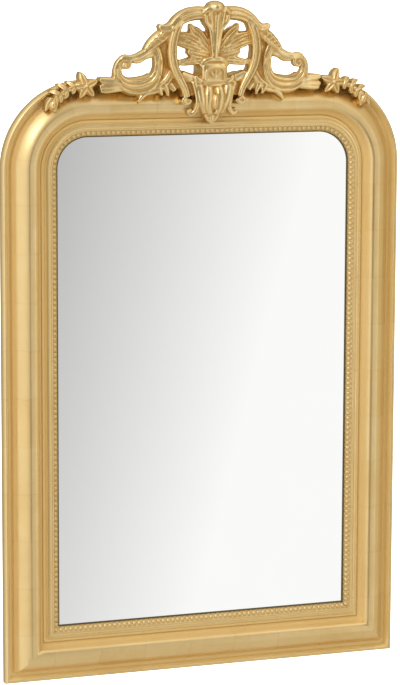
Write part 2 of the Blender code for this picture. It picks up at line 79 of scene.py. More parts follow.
view_camera = placed("view_camera", bpy.data.cameras.new("view_camera"))
view_camera.data.lens = CAMERA_LENS
point_camera(view_camera, CAMERA_PLACE, CAMERA_YAW, CAMERA_DROP, CAMERA_ROLL)
bpy.context.scene.camera = view_camera
print("camera", round(Vector(CAMERA_PLACE).length, 3), "m from the mount")

# %% [markdown]
# Node trees are built from short lists of steps. One helper adds a node and sets it up, and another
# makes the links, so each tree below reads from its first step to its last.

# %% Helpers for node trees
def add_node(tree, kind, label="", settings=None, **values):
    """Adds a node, sets its choices and gives values to its inputs by name."""
    node = tree.nodes.new(kind)
    node.label = label
    for name, value in (settings or {}).items():
        setattr(node, name, value)
    for name, value in values.items():
        node.inputs[name.replace("_", " ")].default_value = value
    return node


def join(tree, *pairs):
    """Links pairs of (output, input) sockets."""
    for source, target in pairs:
        tree.links.new(source, target)


def number(tree, operation, first, second=None, third=None):
    """A math step on sockets or plain numbers. Gives back its output."""
    node = add_node(tree, "ShaderNodeMath", settings={"operation": operation})
    for slot, value in zip(node.inputs, (first, second, third)):
        if value is None:
            continue
        if isinstance(value, (int, float)):
            slot.default_value = value
        else:
            tree.links.new(value, slot)
    return node.outputs[0]


def new_group(name, kind, inputs, outputs):
    """A node group with named inputs (name, type, value) and outputs (name, type)."""
    group = bpy.data.node_groups.new(name, kind)
    for label, socket, value in inputs:
        made = group.interface.new_socket(label, in_out="INPUT", socket_type=socket)
        if value is not None:
            made.default_value = value
    for label, socket in outputs:
        group.interface.new_socket(label, in_out="OUTPUT", socket_type=socket)
    return group, group.nodes.new("NodeGroupInput"), group.nodes.new("NodeGroupOutput")


def modifier_inputs(obj, group, values):
    """Puts a Geometry Nodes tree on an object and sets its inputs by the sockets' identifiers."""
    made = obj.modifiers.new(group.name, "NODES")
    made.node_group = group
    for item in group.interface.items_tree:
        if item.item_type == "SOCKET" and item.in_out == "INPUT" and item.name in values:
            made[item.identifier] = values[item.name]
    return made


def settle(obj, name):
    """Works out an object's modifiers and gives a new plain object with the result."""
    bpy.context.view_layer.update()
    graph = bpy.context.evaluated_depsgraph_get()
    mesh = bpy.data.meshes.new_from_object(obj.evaluated_get(graph))
    mesh.name = name
    return placed(name, mesh)


def object_from(bm, name):
    """Puts a finished bmesh on a new object and frees it."""
    mesh = bpy.data.meshes.new(name)
    bm.to_mesh(mesh)
    bm.free()
    return placed(name, mesh)


def discard(*objects):
    """Removes construction objects once they have done their work."""
    for obj in objects:
        bpy.data.objects.remove(obj, do_unlink=True)


def triangles(obj):
    """How many triangles the faces of an object come to."""
    return sum(len(face.vertices) - 2 for face in obj.data.polygons)


print("helpers ready")

# %% [markdown]
# Gold leaf is laid in sheets 80 mm square, so a gilded rail shows a faint change of tone at every sheet
# and a thin line where two sheets lap. The sheets follow the rail, so the pattern needs a map that runs
# along and across it. One group works out a tone for each sheet and a mask for the laps. A second group
# gives the cloudy burnish and the small dents of hand work.

# %% Node groups for leaf and burnish
LEAF_SIDE = 0.080
LAP_WIDTH = 0.0035
LEAF_WAVER = 0.010


def make_leaf_group():
    """Tone of each sheet of leaf and the lines where sheets lap."""
    inputs = [("Map", "NodeSocketVector", None), ("Sheet side", "NodeSocketFloat", LEAF_SIDE),
              ("Lap width", "NodeSocketFloat", LAP_WIDTH)]
    outputs = [("Tone", "NodeSocketFloat"), ("Lap", "NodeSocketFloat")]
    group, start, end = new_group("leaf_sheets", "ShaderNodeTree", inputs, outputs)
    waver = add_node(group, "ShaderNodeTexNoise", "uneven edges", Scale=42.0, Detail=3.0)
    shift = add_node(group, "ShaderNodeVectorMath", "waver", {"operation": "SCALE"})
    shift.inputs["Scale"].default_value = LEAF_WAVER
    centred = add_node(group, "ShaderNodeVectorMath", "centred", {"operation": "SUBTRACT"})
    centred.inputs[1].default_value = (0.5, 0.5, 0.5)
    moved = add_node(group, "ShaderNodeVectorMath", "wavering map", {"operation": "ADD"})
    join(group, (start.outputs["Map"], waver.inputs["Vector"]), (waver.outputs["Color"], centred.inputs[0]),
         (centred.outputs[0], shift.inputs[0]), (start.outputs["Map"], moved.inputs[0]),
         (shift.outputs[0], moved.inputs[1]))
    apart = add_node(group, "ShaderNodeSeparateXYZ", "along and across")
    join(group, (moved.outputs[0], apart.inputs[0]))
    along = number(group, "DIVIDE", apart.outputs["X"], start.outputs["Sheet side"])
    across = number(group, "DIVIDE", apart.outputs["Y"], start.outputs["Sheet side"])
    sheet = add_node(group, "ShaderNodeCombineXYZ", "sheet number")
    join(group, (number(group, "FLOOR", along), sheet.inputs["X"]),
         (number(group, "FLOOR", across), sheet.inputs["Y"]))
    pick = add_node(group, "ShaderNodeTexWhiteNoise", "tone of the sheet", {"noise_dimensions": "2D"})
    join(group, (sheet.outputs[0], pick.inputs["Vector"]), (pick.outputs["Value"], end.inputs["Tone"]))
    edge_along = number(group, "MULTIPLY", number(group, "FRACT", along), start.outputs["Sheet side"])
    near = number(group, "DIVIDE", edge_along, start.outputs["Lap width"])
    lap = number(group, "SUBTRACT", 1.0, number(group, "MINIMUM", near, 1.0))
    join(group, (number(group, "POWER", lap, 0.6), end.inputs["Lap"]))
    return group


def make_burnish_group():
    """Cloudy burnish, fine streaks and dents in gilded gesso, at the size of the piece."""
    inputs = [("Place", "NodeSocketVector", None), ("Cloud size", "NodeSocketFloat", 18.0),
              ("Speck size", "NodeSocketFloat", 260.0)]
    outputs = [("Cloud", "NodeSocketFloat"), ("Speck", "NodeSocketFloat"), ("Dents", "NodeSocketFloat")]
    group, start, end = new_group("burnish", "ShaderNodeTree", inputs, outputs)
    cloud = add_node(group, "ShaderNodeTexNoise", "clouds", Detail=4.0, Roughness=0.6)
    speck = add_node(group, "ShaderNodeTexNoise", "specks", Detail=2.0, Roughness=0.5)
    dents = add_node(group, "ShaderNodeTexNoise", "dents", Scale=75.0, Detail=2.0, Roughness=0.45)
    for noise, word in ((cloud, "Cloud"), (speck, "Speck"), (dents, "Dents")):
        join(group, (start.outputs["Place"], noise.inputs["Vector"]),
             (noise.outputs["Fac"], end.inputs[word]))
    join(group, (start.outputs["Cloud size"], cloud.inputs["Scale"]),
         (start.outputs["Speck size"], speck.inputs["Scale"]))
    return group


leaf_group = make_leaf_group()
burnish_group = make_burnish_group()
print("groups", leaf_group.name, burnish_group.name)

# %% [markdown]
# Gilding is a metal, so almost all of its colour is reflected light. Leaf on a smooth rail is satin, and
# on the crest it is burnished brighter. A toned coat lies in the hollows and also paints light and shade
# there: its pale ochre on the rails is painted reflected light, and its brown on the castings is painted
# shade. The raised edges are painted paler, partly for rubbing and partly as a painted highlight. A measured
# attribute called hollow, made with each piece, says where the surface is sunk and where it stands out. A
# second one, shade, marks the painted shade beside the glass and between the beads.

# %% Gilded finishes
RAIL_GOLD = (0.770, 0.580, 0.285, 1.0)
RAIL_DEEP = (0.640, 0.410, 0.140, 1.0)
RAIL_PALE = (0.820, 0.660, 0.370, 1.0)
# toning in the rail's hollows, made pale to be painted light that stands in for reflections bounced into them
RAIL_WASH_AND_PAINTED_LIGHT = (0.950, 0.760, 0.380, 1.0)
# brown toning in the castings' hollows, which is also painted shade in their recesses
CAST_WASH_AND_PAINTED_SHADE = (0.560, 0.315, 0.080, 1.0)
# painted shade: a dark colour on the lip and wall beside the glass, where shadow falls between glass and
# frame
SIGHT_PAINTED_SHADE = (0.13, 0.11, 0.055, 1.0)
CLOUD_SHARE = 0.45
SPECK_SHARE = 0.35
TONE_SHARE = 0.42
LAP_SHARE = 0.22
WASH_AND_PAINTED_SHADING_SHARE = 0.85
# share of pale gold on raised parts: partly rubbed wear, partly a painted highlight
RUBBED_AND_HIGHLIGHT_SHARE = 0.45
WASH_ROUGHNESS = 0.15


def new_material(name):
    """A new material with its node tree and its main shader."""
    made = bpy.data.materials.new(name)
    made.use_nodes = True
    tree = made.node_tree
    return made, tree, tree.nodes["Principled BSDF"]


def mix_colour(tree, blend, factor, first, second):
    """Mixes two colours by a socket or number. Gives back the colour."""
    node = add_node(tree, "ShaderNodeMix", settings={"data_type": "RGBA", "blend_type": blend})
    for slot, value in ((node.inputs[0], factor), (node.inputs[6], first), (node.inputs[7], second)):
        if isinstance(value, (int, float, tuple)):
            slot.default_value = value
        else:
            tree.links.new(value, slot)
    return node.outputs[2]


def spread(tree, value, low, high, to_low, to_high):
    """Maps a range of values to another, held at its ends."""
    node = add_node(tree, "ShaderNodeMapRange", settings={"clamp": True})
    for slot, amount in zip(node.inputs[1:5], (low, high, to_low, to_high)):
        slot.default_value = amount
    tree.links.new(value, node.inputs[0])
    return node.outputs[0]


def gilded(name, toning_and_shading, roughness, sheets, dent_height, cloud_size, matte):
    """A gold leaf finish. With sheets on, the leaf_map of the piece lays the 80 mm sheets and the shade
    attribute adds painted shade beside the glass.

    matte says how much of the metal's shine the toned coat takes away in the hollows, where its colour is
    painted light on the rails and painted shade on the castings.
    """
    gold, deep, pale = RAIL_GOLD, RAIL_DEEP, RAIL_PALE
    made, tree, shader = new_material(name)
    place = add_node(tree, "ShaderNodeTexCoord")
    burnish = add_node(tree, "ShaderNodeGroup", "burnish", {"node_tree": burnish_group})
    burnish.inputs["Cloud size"].default_value = cloud_size
    join(tree, (place.outputs["Object"], burnish.inputs["Place"]))
    hollow = add_node(tree, "ShaderNodeAttribute", "hollow", {"attribute_name": "hollow"})
    sunk = spread(tree, hollow.outputs["Fac"], 0.52, 0.95, 0.0, 1.0)
    raised = spread(tree, hollow.outputs["Fac"], 0.48, 0.10, 0.0, 1.0)
    cloudy = spread(tree, burnish.outputs["Cloud"], 0.3, 0.7, 0.0, CLOUD_SHARE)
    specked = spread(tree, burnish.outputs["Speck"], 0.62, 0.80, 0.0, SPECK_SHARE)
    colour = mix_colour(tree, "MIX", specked, mix_colour(tree, "MIX", cloudy, gold, deep), deep)
    rough = spread(tree, burnish.outputs["Cloud"], 0.25, 0.75, roughness - 0.05, roughness + 0.06)
    height = burnish.outputs["Dents"]
    if sheets:
        leaf_map = add_node(tree, "ShaderNodeUVMap", settings={"uv_map": "leaf_map"})
        leaf = add_node(tree, "ShaderNodeGroup", "leaf", {"node_tree": leaf_group})
        join(tree, (leaf_map.outputs["UV"], leaf.inputs["Map"]))
        toned = spread(tree, leaf.outputs["Tone"], 0.0, 1.0, 0.0, TONE_SHARE)
        lapped = number(tree, "MULTIPLY", leaf.outputs["Lap"], LAP_SHARE)
        colour = mix_colour(tree, "MIX", lapped, mix_colour(tree, "MIX", toned, colour, pale), deep)
        rough = number(tree, "ADD", rough, spread(tree, leaf.outputs["Tone"], 0.0, 1.0, -0.035, 0.045))
        height = number(tree, "ADD", height, number(tree, "MULTIPLY", leaf.outputs["Lap"], 0.25))
    # Toning and painted light and shade in the hollows: pale painted reflected light on the rails, brown
    # painted shade on the castings.
    colour = mix_colour(tree, "MIX", number(tree, "MULTIPLY", sunk, WASH_AND_PAINTED_SHADING_SHARE), colour, toning_and_shading)
    # Painted highlight: raised places are mixed towards the pale gold, partly for rubbing and partly to stand
    # in for highlights.
    colour = mix_colour(tree, "MIX", number(tree, "MULTIPLY", raised, RUBBED_AND_HIGHLIGHT_SHARE), colour, pale)
    rough = number(tree, "ADD", rough, number(tree, "MULTIPLY", sunk, WASH_ROUGHNESS))
    metal = number(tree, "SUBTRACT", 1.0, number(tree, "MULTIPLY", sunk, matte))
    if sheets:
        # Painted shade: the shade attribute darkens the lip and wall beside the glass and the channel under
        # the beads.
        shade = add_node(tree, "ShaderNodeAttribute", "painted shade by the glass", {"attribute_name": "shade"})
        colour = mix_colour(tree, "MIX", shade.outputs["Fac"], colour, SIGHT_PAINTED_SHADE)
    bump = add_node(tree, "ShaderNodeBump", "hand-worked gesso", Strength=0.35, Distance=dent_height)
    join(tree, (height, bump.inputs["Height"]), (bump.outputs["Normal"], shader.inputs["Normal"]),
         (colour, shader.inputs["Base Color"]), (rough, shader.inputs["Roughness"]),
         (metal, shader.inputs["Metallic"]))
    return made


rail_gilt = gilded("rail_gilt", RAIL_WASH_AND_PAINTED_LIGHT, 0.34, True, 0.0006, 14.0, 0.85)
cast_gilt = gilded("cast_gilt", CAST_WASH_AND_PAINTED_SHADE, 0.27, False, 0.0006, 60.0, 0.50)
bead_gilt = gilded("bead_gilt", RAIL_WASH_AND_PAINTED_LIGHT, 0.52, False, 0.0003, 40.0, 0.85)
print("gilded finishes made")

# %% [markdown]
# The frame's outline and its rail are those of the CAD model. The outline is a rectangle with two rounded
# upper corners. Its lower corners are mitred, so the inward direction there is longer than one.

# %% Sizes of the frame and its outline
FRAME_WIDTH = 0.700
FRAME_HEIGHT = 1.005
TOP_EDGE = 0.047
CORNER_RADIUS = 0.146
RAIL_WIDTH = 0.094
STATION_STEP = 0.011
CORNER_STATIONS = 36


def outline_stations(inset):
    """Places round the frame at an inset from its outer edge: x, z, inward x, inward z, run and slant.

    Between a mitre and the next corner the inward direction turns evenly, so the rail stays straight and no
    station crosses another. The slant says how far a station leans along the rail for each metre inward.
    """
    half = FRAME_WIDTH / 2
    low = TOP_EDGE - FRAME_HEIGHT
    arc_x = half - CORNER_RADIUS
    arc_z = TOP_EDGE - CORNER_RADIUS
    places = []

    def straight(first, last, inward_first, inward_last):
        length = math.dist(first, last)
        count = int(length / STATION_STEP)
        ahead = Vector(last) - Vector(first)
        ahead.normalize()
        for k in range(count + 1):
            share = k / count
            place = Vector(first).lerp(Vector(last), share)
            inward = Vector(inward_first).lerp(Vector(inward_last), share)
            places.append((*place, *inward, inward.dot(ahead)))

    def corner(side, turns):
        for k in turns:
            angle = 0.5 * math.pi * k / CORNER_STATIONS
            out_x, out_z = side * math.cos(angle), math.sin(angle)
            x, z = side * arc_x + CORNER_RADIUS * out_x, arc_z + CORNER_RADIUS * out_z
            places.append((x, z, -out_x, -out_z, 0.0))

    straight((-half, low), (half, low), (1.0, 1.0), (-1.0, 1.0))
    straight((half, low), (half, arc_z), (-1.0, 1.0), (-1.0, 0.0))
    corner(1, range(1, CORNER_STATIONS))
    straight((arc_x, TOP_EDGE), (-arc_x, TOP_EDGE), (0.0, -1.0), (0.0, -1.0))
    corner(-1, range(CORNER_STATIONS - 1, 0, -1))
    straight((-half, arc_z), (-half, low), (1.0, 0.0), (1.0, 1.0))
    run = [0.0]
    for a, b in zip(places, places[1:]):
        run.append(run[-1] + math.dist(a[:2], b[:2]))
    return [(x + inset * dx, z + inset * dz, dx, dz, along, slant)
            for (x, z, dx, dz, slant), along in zip(places, run)]


print("stations round the frame", len(outline_stations(0.0)))

# %% [markdown]
# The profile of the moulding, read across the rail from its outer edge: a half-round lip, a sunk fillet,
# a broad convex band that crowns near the middle, a groove and a step, a grooved flat, a slope on which
# the beads lie, and a lip beside the glass. Gesso and leaf soften every edge, so each corner of the
# section is eased a little. The sizes are the CAD model's, but for the slope and the lip: there the model
# has a plain half-round in place of the leaning beads.

# %% The profile of the moulding
LIP_WIDTH = 0.0090
LIP_HEIGHT = 0.0205
LIP_SPRING = 0.0130
FILLET_HEIGHT = 0.0068
FILLET_END = 0.0146
QUIRK_HEIGHT = 0.0055
BAND_START = 0.0178
BAND_RADIUS = 0.0420
SHOULDER_RADIUS = 0.0067
SHOULDER_TURN = 22.0
SHOULDER_PLACE = 0.0425
CROWN_PLACE = 0.0490
CROWN_FALL = 0.0003
INNER_RADIUS = 0.0091
INNER_TURN = 61.0
CROWN_HEIGHT = 0.0355
BAND_END = 0.0655
BAND_INNER = 0.0150
GROOVE_HEIGHT = 0.0130
STEP_START = 0.0664
STEP_HEIGHT = 0.0162
STEP_END = 0.0704
SIGHT_FLAT_HEIGHT = 0.0231
SIGHT_FLAT_START = 0.0728
SIGHT_FLAT_END = 0.0830
BEAD_PLACE = 0.0873
BEAD_RADIUS = 0.0036
BEAD_SEAT = 0.0188
BEAD_TILT = 40.0
SIGHT_LIP_HEIGHT = 0.0166
EDGE_STEP = 0.0006
FLAT_RISE = 0.0004
FLAT_GROOVE = (0.0774, 0.0780, 0.0796, 0.0802)
FLAT_GROOVE_DEPTH = 0.0011
REBATE_WIDTH = 0.0080
GLASS_FRONT = 0.0146
GLASS_GAP = 0.0003
ARRIS_EASE = 0.00045
WINDOW = 61
FULL_HOLLOW = 0.006
# strength of the painted shade in the channel under the beads
CHANNEL_PAINTED_SHADE = 0.27


def band_line(outer, shoulder, inner):
    """The broad convex band: a long arc up its outer side, a tight shoulder, a flat crown, and a round turn
    into a straight inner slope."""
    turn = math.radians(SHOULDER_TURN)
    reach = BAND_RADIUS - SHOULDER_RADIUS
    middle_x = SHOULDER_PLACE + reach * math.sin(turn)
    middle_h = CROWN_HEIGHT - SHOULDER_RADIUS - reach * math.cos(turn)
    foot = math.asin(min(1.0, (middle_x - BAND_START) / BAND_RADIUS))
    line = []
    for k in range(outer + 1):
        angle = foot + (turn - foot) * k / outer
        line.append((middle_x - BAND_RADIUS * math.sin(angle), middle_h + BAND_RADIUS * math.cos(angle)))
    for k in range(1, shoulder + 1):
        angle = turn * (1.0 - k / shoulder)
        height = CROWN_HEIGHT - SHOULDER_RADIUS * (1.0 - math.cos(angle))
        line.append((SHOULDER_PLACE - SHOULDER_RADIUS * math.sin(angle), height))
    for k in range(inner + 1):
        angle = math.radians(INNER_TURN) * k / inner
        height = CROWN_HEIGHT - CROWN_FALL - INNER_RADIUS * (1.0 - math.cos(angle))
        line.append((CROWN_PLACE + INNER_RADIUS * math.sin(angle), height))
    return line + [(BAND_END, BAND_INNER)]


def front_marks():
    """The front of the section as (across, forward, kept sharp) marks from the outer edge to the glass."""
    marks = []
    for k in range(15):
        angle = math.pi * k / 14
        across = LIP_WIDTH / 2 * (1.0 - math.cos(angle))
        marks.append((across, LIP_SPRING + (LIP_HEIGHT - LIP_SPRING) * math.sin(angle), False))
    drop = BEAD_RADIUS * math.tan(math.radians(BEAD_TILT))
    corners = [(LIP_WIDTH + 0.0008, FILLET_HEIGHT), (FILLET_END, FILLET_HEIGHT),
               (FILLET_END + EDGE_STEP, QUIRK_HEIGHT), (BAND_START - EDGE_STEP, QUIRK_HEIGHT)]
    marks += [(*place, True) for place in corners]
    marks += [(*place, False) for place in band_line(20, 6, 12)]
    corners = [(BAND_END + 0.0002, GROOVE_HEIGHT), (STEP_START - 0.0003, GROOVE_HEIGHT),
               (STEP_START, STEP_HEIGHT),
               (STEP_END, STEP_HEIGHT + 0.0008), (STEP_END + EDGE_STEP, STEP_HEIGHT - EDGE_STEP),
               (SIGHT_FLAT_START - EDGE_STEP, STEP_HEIGHT - EDGE_STEP), (SIGHT_FLAT_START, SIGHT_FLAT_HEIGHT)]
    for across, rise in zip(FLAT_GROOVE, (FLAT_RISE, -FLAT_GROOVE_DEPTH, -FLAT_GROOVE_DEPTH, FLAT_RISE)):
        corners.append((across, SIGHT_FLAT_HEIGHT + rise))
    corners += [(SIGHT_FLAT_END, SIGHT_FLAT_HEIGHT + FLAT_RISE),
                (BEAD_PLACE - BEAD_RADIUS - 0.0002, BEAD_SEAT + drop),
                (BEAD_PLACE + BEAD_RADIUS, BEAD_SEAT - drop),
                (BEAD_PLACE + BEAD_RADIUS + 0.0008, SIGHT_LIP_HEIGHT), (RAIL_WIDTH, SIGHT_LIP_HEIGHT)]
    marks += [(*place, True) for place in corners]
    marks += [(RAIL_WIDTH, GLASS_FRONT + GLASS_GAP, False)]
    return marks


def eased(marks, ease):
    """Replaces each sharp corner by a small curve of three places."""
    found = []
    for before, here, after in zip(marks[:1] + marks, marks, marks[1:] + marks[-1:]):
        if not here[2]:
            found.append(here[:2])
            continue
        place = Vector(here[:2])
        back = Vector(before[:2]) - place
        ahead = Vector(after[:2]) - place
        back_step = min(ease, back.length * 0.45)
        ahead_step = min(ease, ahead.length * 0.45)
        enter = place + back.normalized() * back_step
        leave = place + ahead.normalized() * ahead_step
        found += [tuple(enter), tuple((enter + leave) * 0.25 + place * 0.5), tuple(leave)]
    return found


def sheltered(line):
    """Up to a half where the moulding hides most of the room, and nothing where a place lies open."""
    found = []
    for across, height in line:
        hidden = 0.0
        for side in (-1, 1):
            reach = side * (line[:, 0] - across)
            beyond = reach > 0.0004
            if beyond.any():
                hidden += max(0.0, float(np.arctan2(line[beyond, 1] - height, reach[beyond]).max()))
        found.append(hidden / math.pi)
    return 0.5 * np.clip((np.array(found) - 0.22) / 0.38, 0.0, 1.0)


def section_marks():
    """The whole closed section: across, forward, reach along the surface, hollow, back side and painted
    shade.

    Each eased corner is three marks. The last five marks of the front are the lip beside the glass and its
    wall, which get full painted shade, and the four from the twelfth last on are the channel under the beads,
    which gets a lighter painted shade.
    """
    front = eased(front_marks(), ARRIS_EASE)
    inner = RAIL_WIDTH - REBATE_WIDTH
    rear = [(inner, GLASS_FRONT + GLASS_GAP), (inner, 0.0), (0.0, 0.0), front[0]]
    places = np.array(front + rear)
    reach = np.concatenate([[0.0], np.cumsum(np.linalg.norm(np.diff(places, axis=0), axis=1))])
    fine = np.linspace(0.0, reach[len(front) - 1], 600)
    height = np.interp(fine, reach[:len(front)], places[:len(front), 1])
    around = np.convolve(np.pad(height, WINDOW // 2, mode="edge"), np.ones(WINDOW) / WINDOW, mode="valid")
    sunk = np.interp(reach[:len(front)], fine, around - height) / FULL_HOLLOW
    hollow = np.full(len(places), 0.5)
    # The hollow value, partly how much of the room the moulding hides, places the pale painted light in the
    # rail's hollows.
    hollow[:len(front)] = np.clip(0.5 + np.maximum(sunk, sheltered(places[:len(front)])), 0.0, 1.0)
    behind = np.zeros(len(places))
    behind[len(front) - 1:] = 1.0
    behind[-1] = 0.0
    shade = np.zeros(len(places))
    # painted shade on the lip beside the glass and on its wall
    shade[len(front) - 5:len(front)] = 1.0
    # a lighter painted shade in the channel, seen in the gaps between the beads
    shade[len(front) - 12:len(front) - 8] = CHANNEL_PAINTED_SHADE
    return places, reach, hollow, behind, shade


section, section_reach, section_hollow, section_back, section_shade = section_marks()
print("marks in the section", len(section), "widest", round(float(section[:, 0].max()), 4))

# %% [markdown]
# The moulding is one rule: the section is carried round the outline. Geometry Nodes do that with a grid.
# Each row of the grid is a station and each column a mark of the section. The tree looks up both places by
# number and adds them. It also lays the leaf map, in metres along and across, and marks the bare back.

# %% Tree that sweeps the section round the outline
def look_up(tree, geometry, kind, field, index):
    """The value of a field at one point of another geometry."""
    settings = {"data_type": kind, "domain": "POINT", "clamp": True}
    node = add_node(tree, "GeometryNodeSampleIndex", settings=settings)
    join(tree, (geometry, node.inputs["Geometry"]), (field, node.inputs["Value"]),
         (index, node.inputs["Index"]))
    return node.outputs[0]


def named_field(tree, kind, name):
    """The values kept on the geometry under a name."""
    node = add_node(tree, "GeometryNodeInputNamedAttribute", name, {"data_type": kind})
    node.inputs["Name"].default_value = name
    return node.outputs[0]


def keep_field(tree, geometry, kind, domain, name, value):
    """Stores a value on the geometry under a name and gives back the geometry."""
    node = add_node(tree, "GeometryNodeStoreNamedAttribute", name, {"data_type": kind, "domain": domain})
    node.inputs["Name"].default_value = name
    join(tree, (geometry, node.inputs["Geometry"]), (value, node.inputs["Value"]))
    return node.outputs[0]


def vector_step(tree, operation, first, second):
    """A vector math step on two outputs. Gives back its output."""
    node = add_node(tree, "ShaderNodeVectorMath", settings={"operation": operation})
    join(tree, (first, node.inputs[0]))
    slot = node.inputs["Scale"] if operation == "SCALE" else node.inputs[1]
    join(tree, (second, slot))
    return node.outputs[0]


def make_sweep_tree():
    """Carries a section round a path of stations. The path has the fields inward, run and slant."""
    inputs = [("Path", "NodeSocketGeometry", None), ("Section", "NodeSocketObject", None),
              ("Stations", "NodeSocketInt", 4), ("Marks", "NodeSocketInt", 4),
              ("Arris angle", "NodeSocketFloat", math.radians(38)),
              ("Front finish", "NodeSocketMaterial", None), ("Back finish", "NodeSocketMaterial", None)]
    outputs = [("Moulding", "NodeSocketGeometry")]
    tree, start, end = new_group("sweep_moulding", "GeometryNodeTree", inputs, outputs)
    info = add_node(tree, "GeometryNodeObjectInfo", "section", {"transform_space": "ORIGINAL"})
    grid = add_node(tree, "GeometryNodeMeshGrid", "stations by marks")
    marks = start.outputs["Marks"]
    join(tree, (start.outputs["Section"], info.inputs["Object"]),
         (start.outputs["Stations"], grid.inputs["Vertices X"]), (marks, grid.inputs["Vertices Y"]))
    index = add_node(tree, "GeometryNodeInputIndex").outputs[0]
    station = number(tree, "FLOOR", number(tree, "DIVIDE", number(tree, "ADD", index, 0.5), marks))
    mark = number(tree, "SUBTRACT", index, number(tree, "MULTIPLY", station, marks))
    path = start.outputs["Path"]
    shape = info.outputs["Geometry"]
    place = add_node(tree, "GeometryNodeInputPosition").outputs[0]

    def looked_up(geometry, kind, name, at):
        """A named value of the path or the section at a number."""
        return look_up(tree, geometry, kind, named_field(tree, kind, name), at)

    corner = look_up(tree, path, "FLOAT_VECTOR", place, station)
    inward = looked_up(path, "FLOAT_VECTOR", "inward", station)
    run, slant = (looked_up(path, "FLOAT", name, station) for name in ("run", "slant"))
    mark_place = look_up(tree, shape, "FLOAT_VECTOR", place, mark)
    reach = looked_up(shape, "FLOAT", "reach", mark)
    apart = add_node(tree, "ShaderNodeSeparateXYZ")
    forward = add_node(tree, "ShaderNodeCombineXYZ")
    join(tree, (mark_place, apart.inputs[0]),
         (number(tree, "MULTIPLY", apart.outputs["Y"], -1.0), forward.inputs["Y"]))
    moved = vector_step(tree, "ADD", vector_step(tree, "SCALE", inward, apart.outputs["X"]),
                        forward.outputs[0])
    put = add_node(tree, "GeometryNodeSetPosition")
    join(tree, (grid.outputs["Mesh"], put.inputs["Geometry"]),
         (vector_step(tree, "ADD", corner, moved), put.inputs["Position"]))
    map_place = add_node(tree, "ShaderNodeCombineXYZ", "leaf map")
    along = number(tree, "ADD", run, number(tree, "MULTIPLY", slant, apart.outputs["X"]))
    join(tree, (along, map_place.inputs["X"]), (reach, map_place.inputs["Y"]))
    shaped = keep_field(tree, put.outputs[0], "FLOAT_VECTOR", "POINT", "map_place", map_place.outputs[0])
    for name in ("hollow", "shade", "behind"):
        shaped = keep_field(tree, shaped, "FLOAT", "POINT", name, looked_up(shape, "FLOAT", name, mark))
    shaped = keep_field(tree, shaped, "FLOAT", "FACE", "bare", named_field(tree, "FLOAT", "behind"))
    shaped = keep_field(tree, shaped, "FLOAT2", "CORNER", "leaf_map",
                        named_field(tree, "FLOAT_VECTOR", "map_place"))
    drop = add_node(tree, "GeometryNodeRemoveAttribute")
    drop.inputs["Name"].default_value = "map_place"
    weld = add_node(tree, "GeometryNodeMergeByDistance", Distance=0.00001)
    smooth = add_node(tree, "GeometryNodeSetShadeSmooth", settings={"domain": "FACE"})
    angle = add_node(tree, "GeometryNodeInputMeshEdgeAngle")
    sharp = add_node(tree, "FunctionNodeCompare",
                     settings={"data_type": "FLOAT", "operation": "GREATER_THAN"})
    arris = add_node(tree, "GeometryNodeSetShadeSmooth", "sharp arrises", {"domain": "EDGE"})
    arris.inputs["Shade Smooth"].default_value = False
    join(tree, (shaped, drop.inputs["Geometry"]), (drop.outputs[0], weld.inputs["Geometry"]),
         (weld.outputs[0], smooth.inputs["Geometry"]), (smooth.outputs[0], arris.inputs["Geometry"]),
         (angle.outputs["Unsigned Angle"], sharp.inputs[0]), (start.outputs["Arris angle"], sharp.inputs[1]),
         (sharp.outputs[0], arris.inputs["Selection"]))
    real = add_node(tree, "GeometryNodeRealizeInstances")
    gild = add_node(tree, "GeometryNodeSetMaterial", "front")
    plain = add_node(tree, "GeometryNodeSetMaterial", "back")
    is_bare = add_node(tree, "FunctionNodeCompare",
                       settings={"data_type": "FLOAT", "operation": "GREATER_THAN"})
    is_bare.inputs[1].default_value = 0.75
    join(tree, (arris.outputs[0], real.inputs[0]), (real.outputs[0], gild.inputs["Geometry"]),
         (start.outputs["Front finish"], gild.inputs["Material"]),
         (gild.outputs[0], plain.inputs["Geometry"]),
         (named_field(tree, "FLOAT", "bare"), is_bare.inputs[0]),
         (is_bare.outputs[0], plain.inputs["Selection"]),
         (start.outputs["Back finish"], plain.inputs["Material"]), (plain.outputs[0], end.inputs["Moulding"]))
    return tree


def helper_mesh(name, places, fields):
    """A bare mesh of points with named fields, used only while a tree is worked out."""
    mesh = bpy.data.meshes.new(name)
    mesh.from_pydata([tuple(p) for p in places], [(k, k + 1) for k in range(len(places) - 1)], [])
    for field, values in fields.items():
        values = np.asarray(values, dtype=np.float32)
        kind = "FLOAT_VECTOR" if values.ndim == 2 else "FLOAT"
        made = mesh.attributes.new(field, kind, "POINT")
        made.data.foreach_set("vector" if values.ndim == 2 else "value", values.ravel())
    return placed(name, mesh)


sweep_tree = make_sweep_tree()
print("tree", sweep_tree.name, "with", len(sweep_tree.nodes), "nodes")

# %% [markdown]
# The back of a gilded frame is plain wood. Its grain runs along each rail, so the wood uses the same leaf
# map, which runs along the rail. Long stretched noise gives the fibres, and a second slower one gives the
# broad tone of the boards, grimed by age.

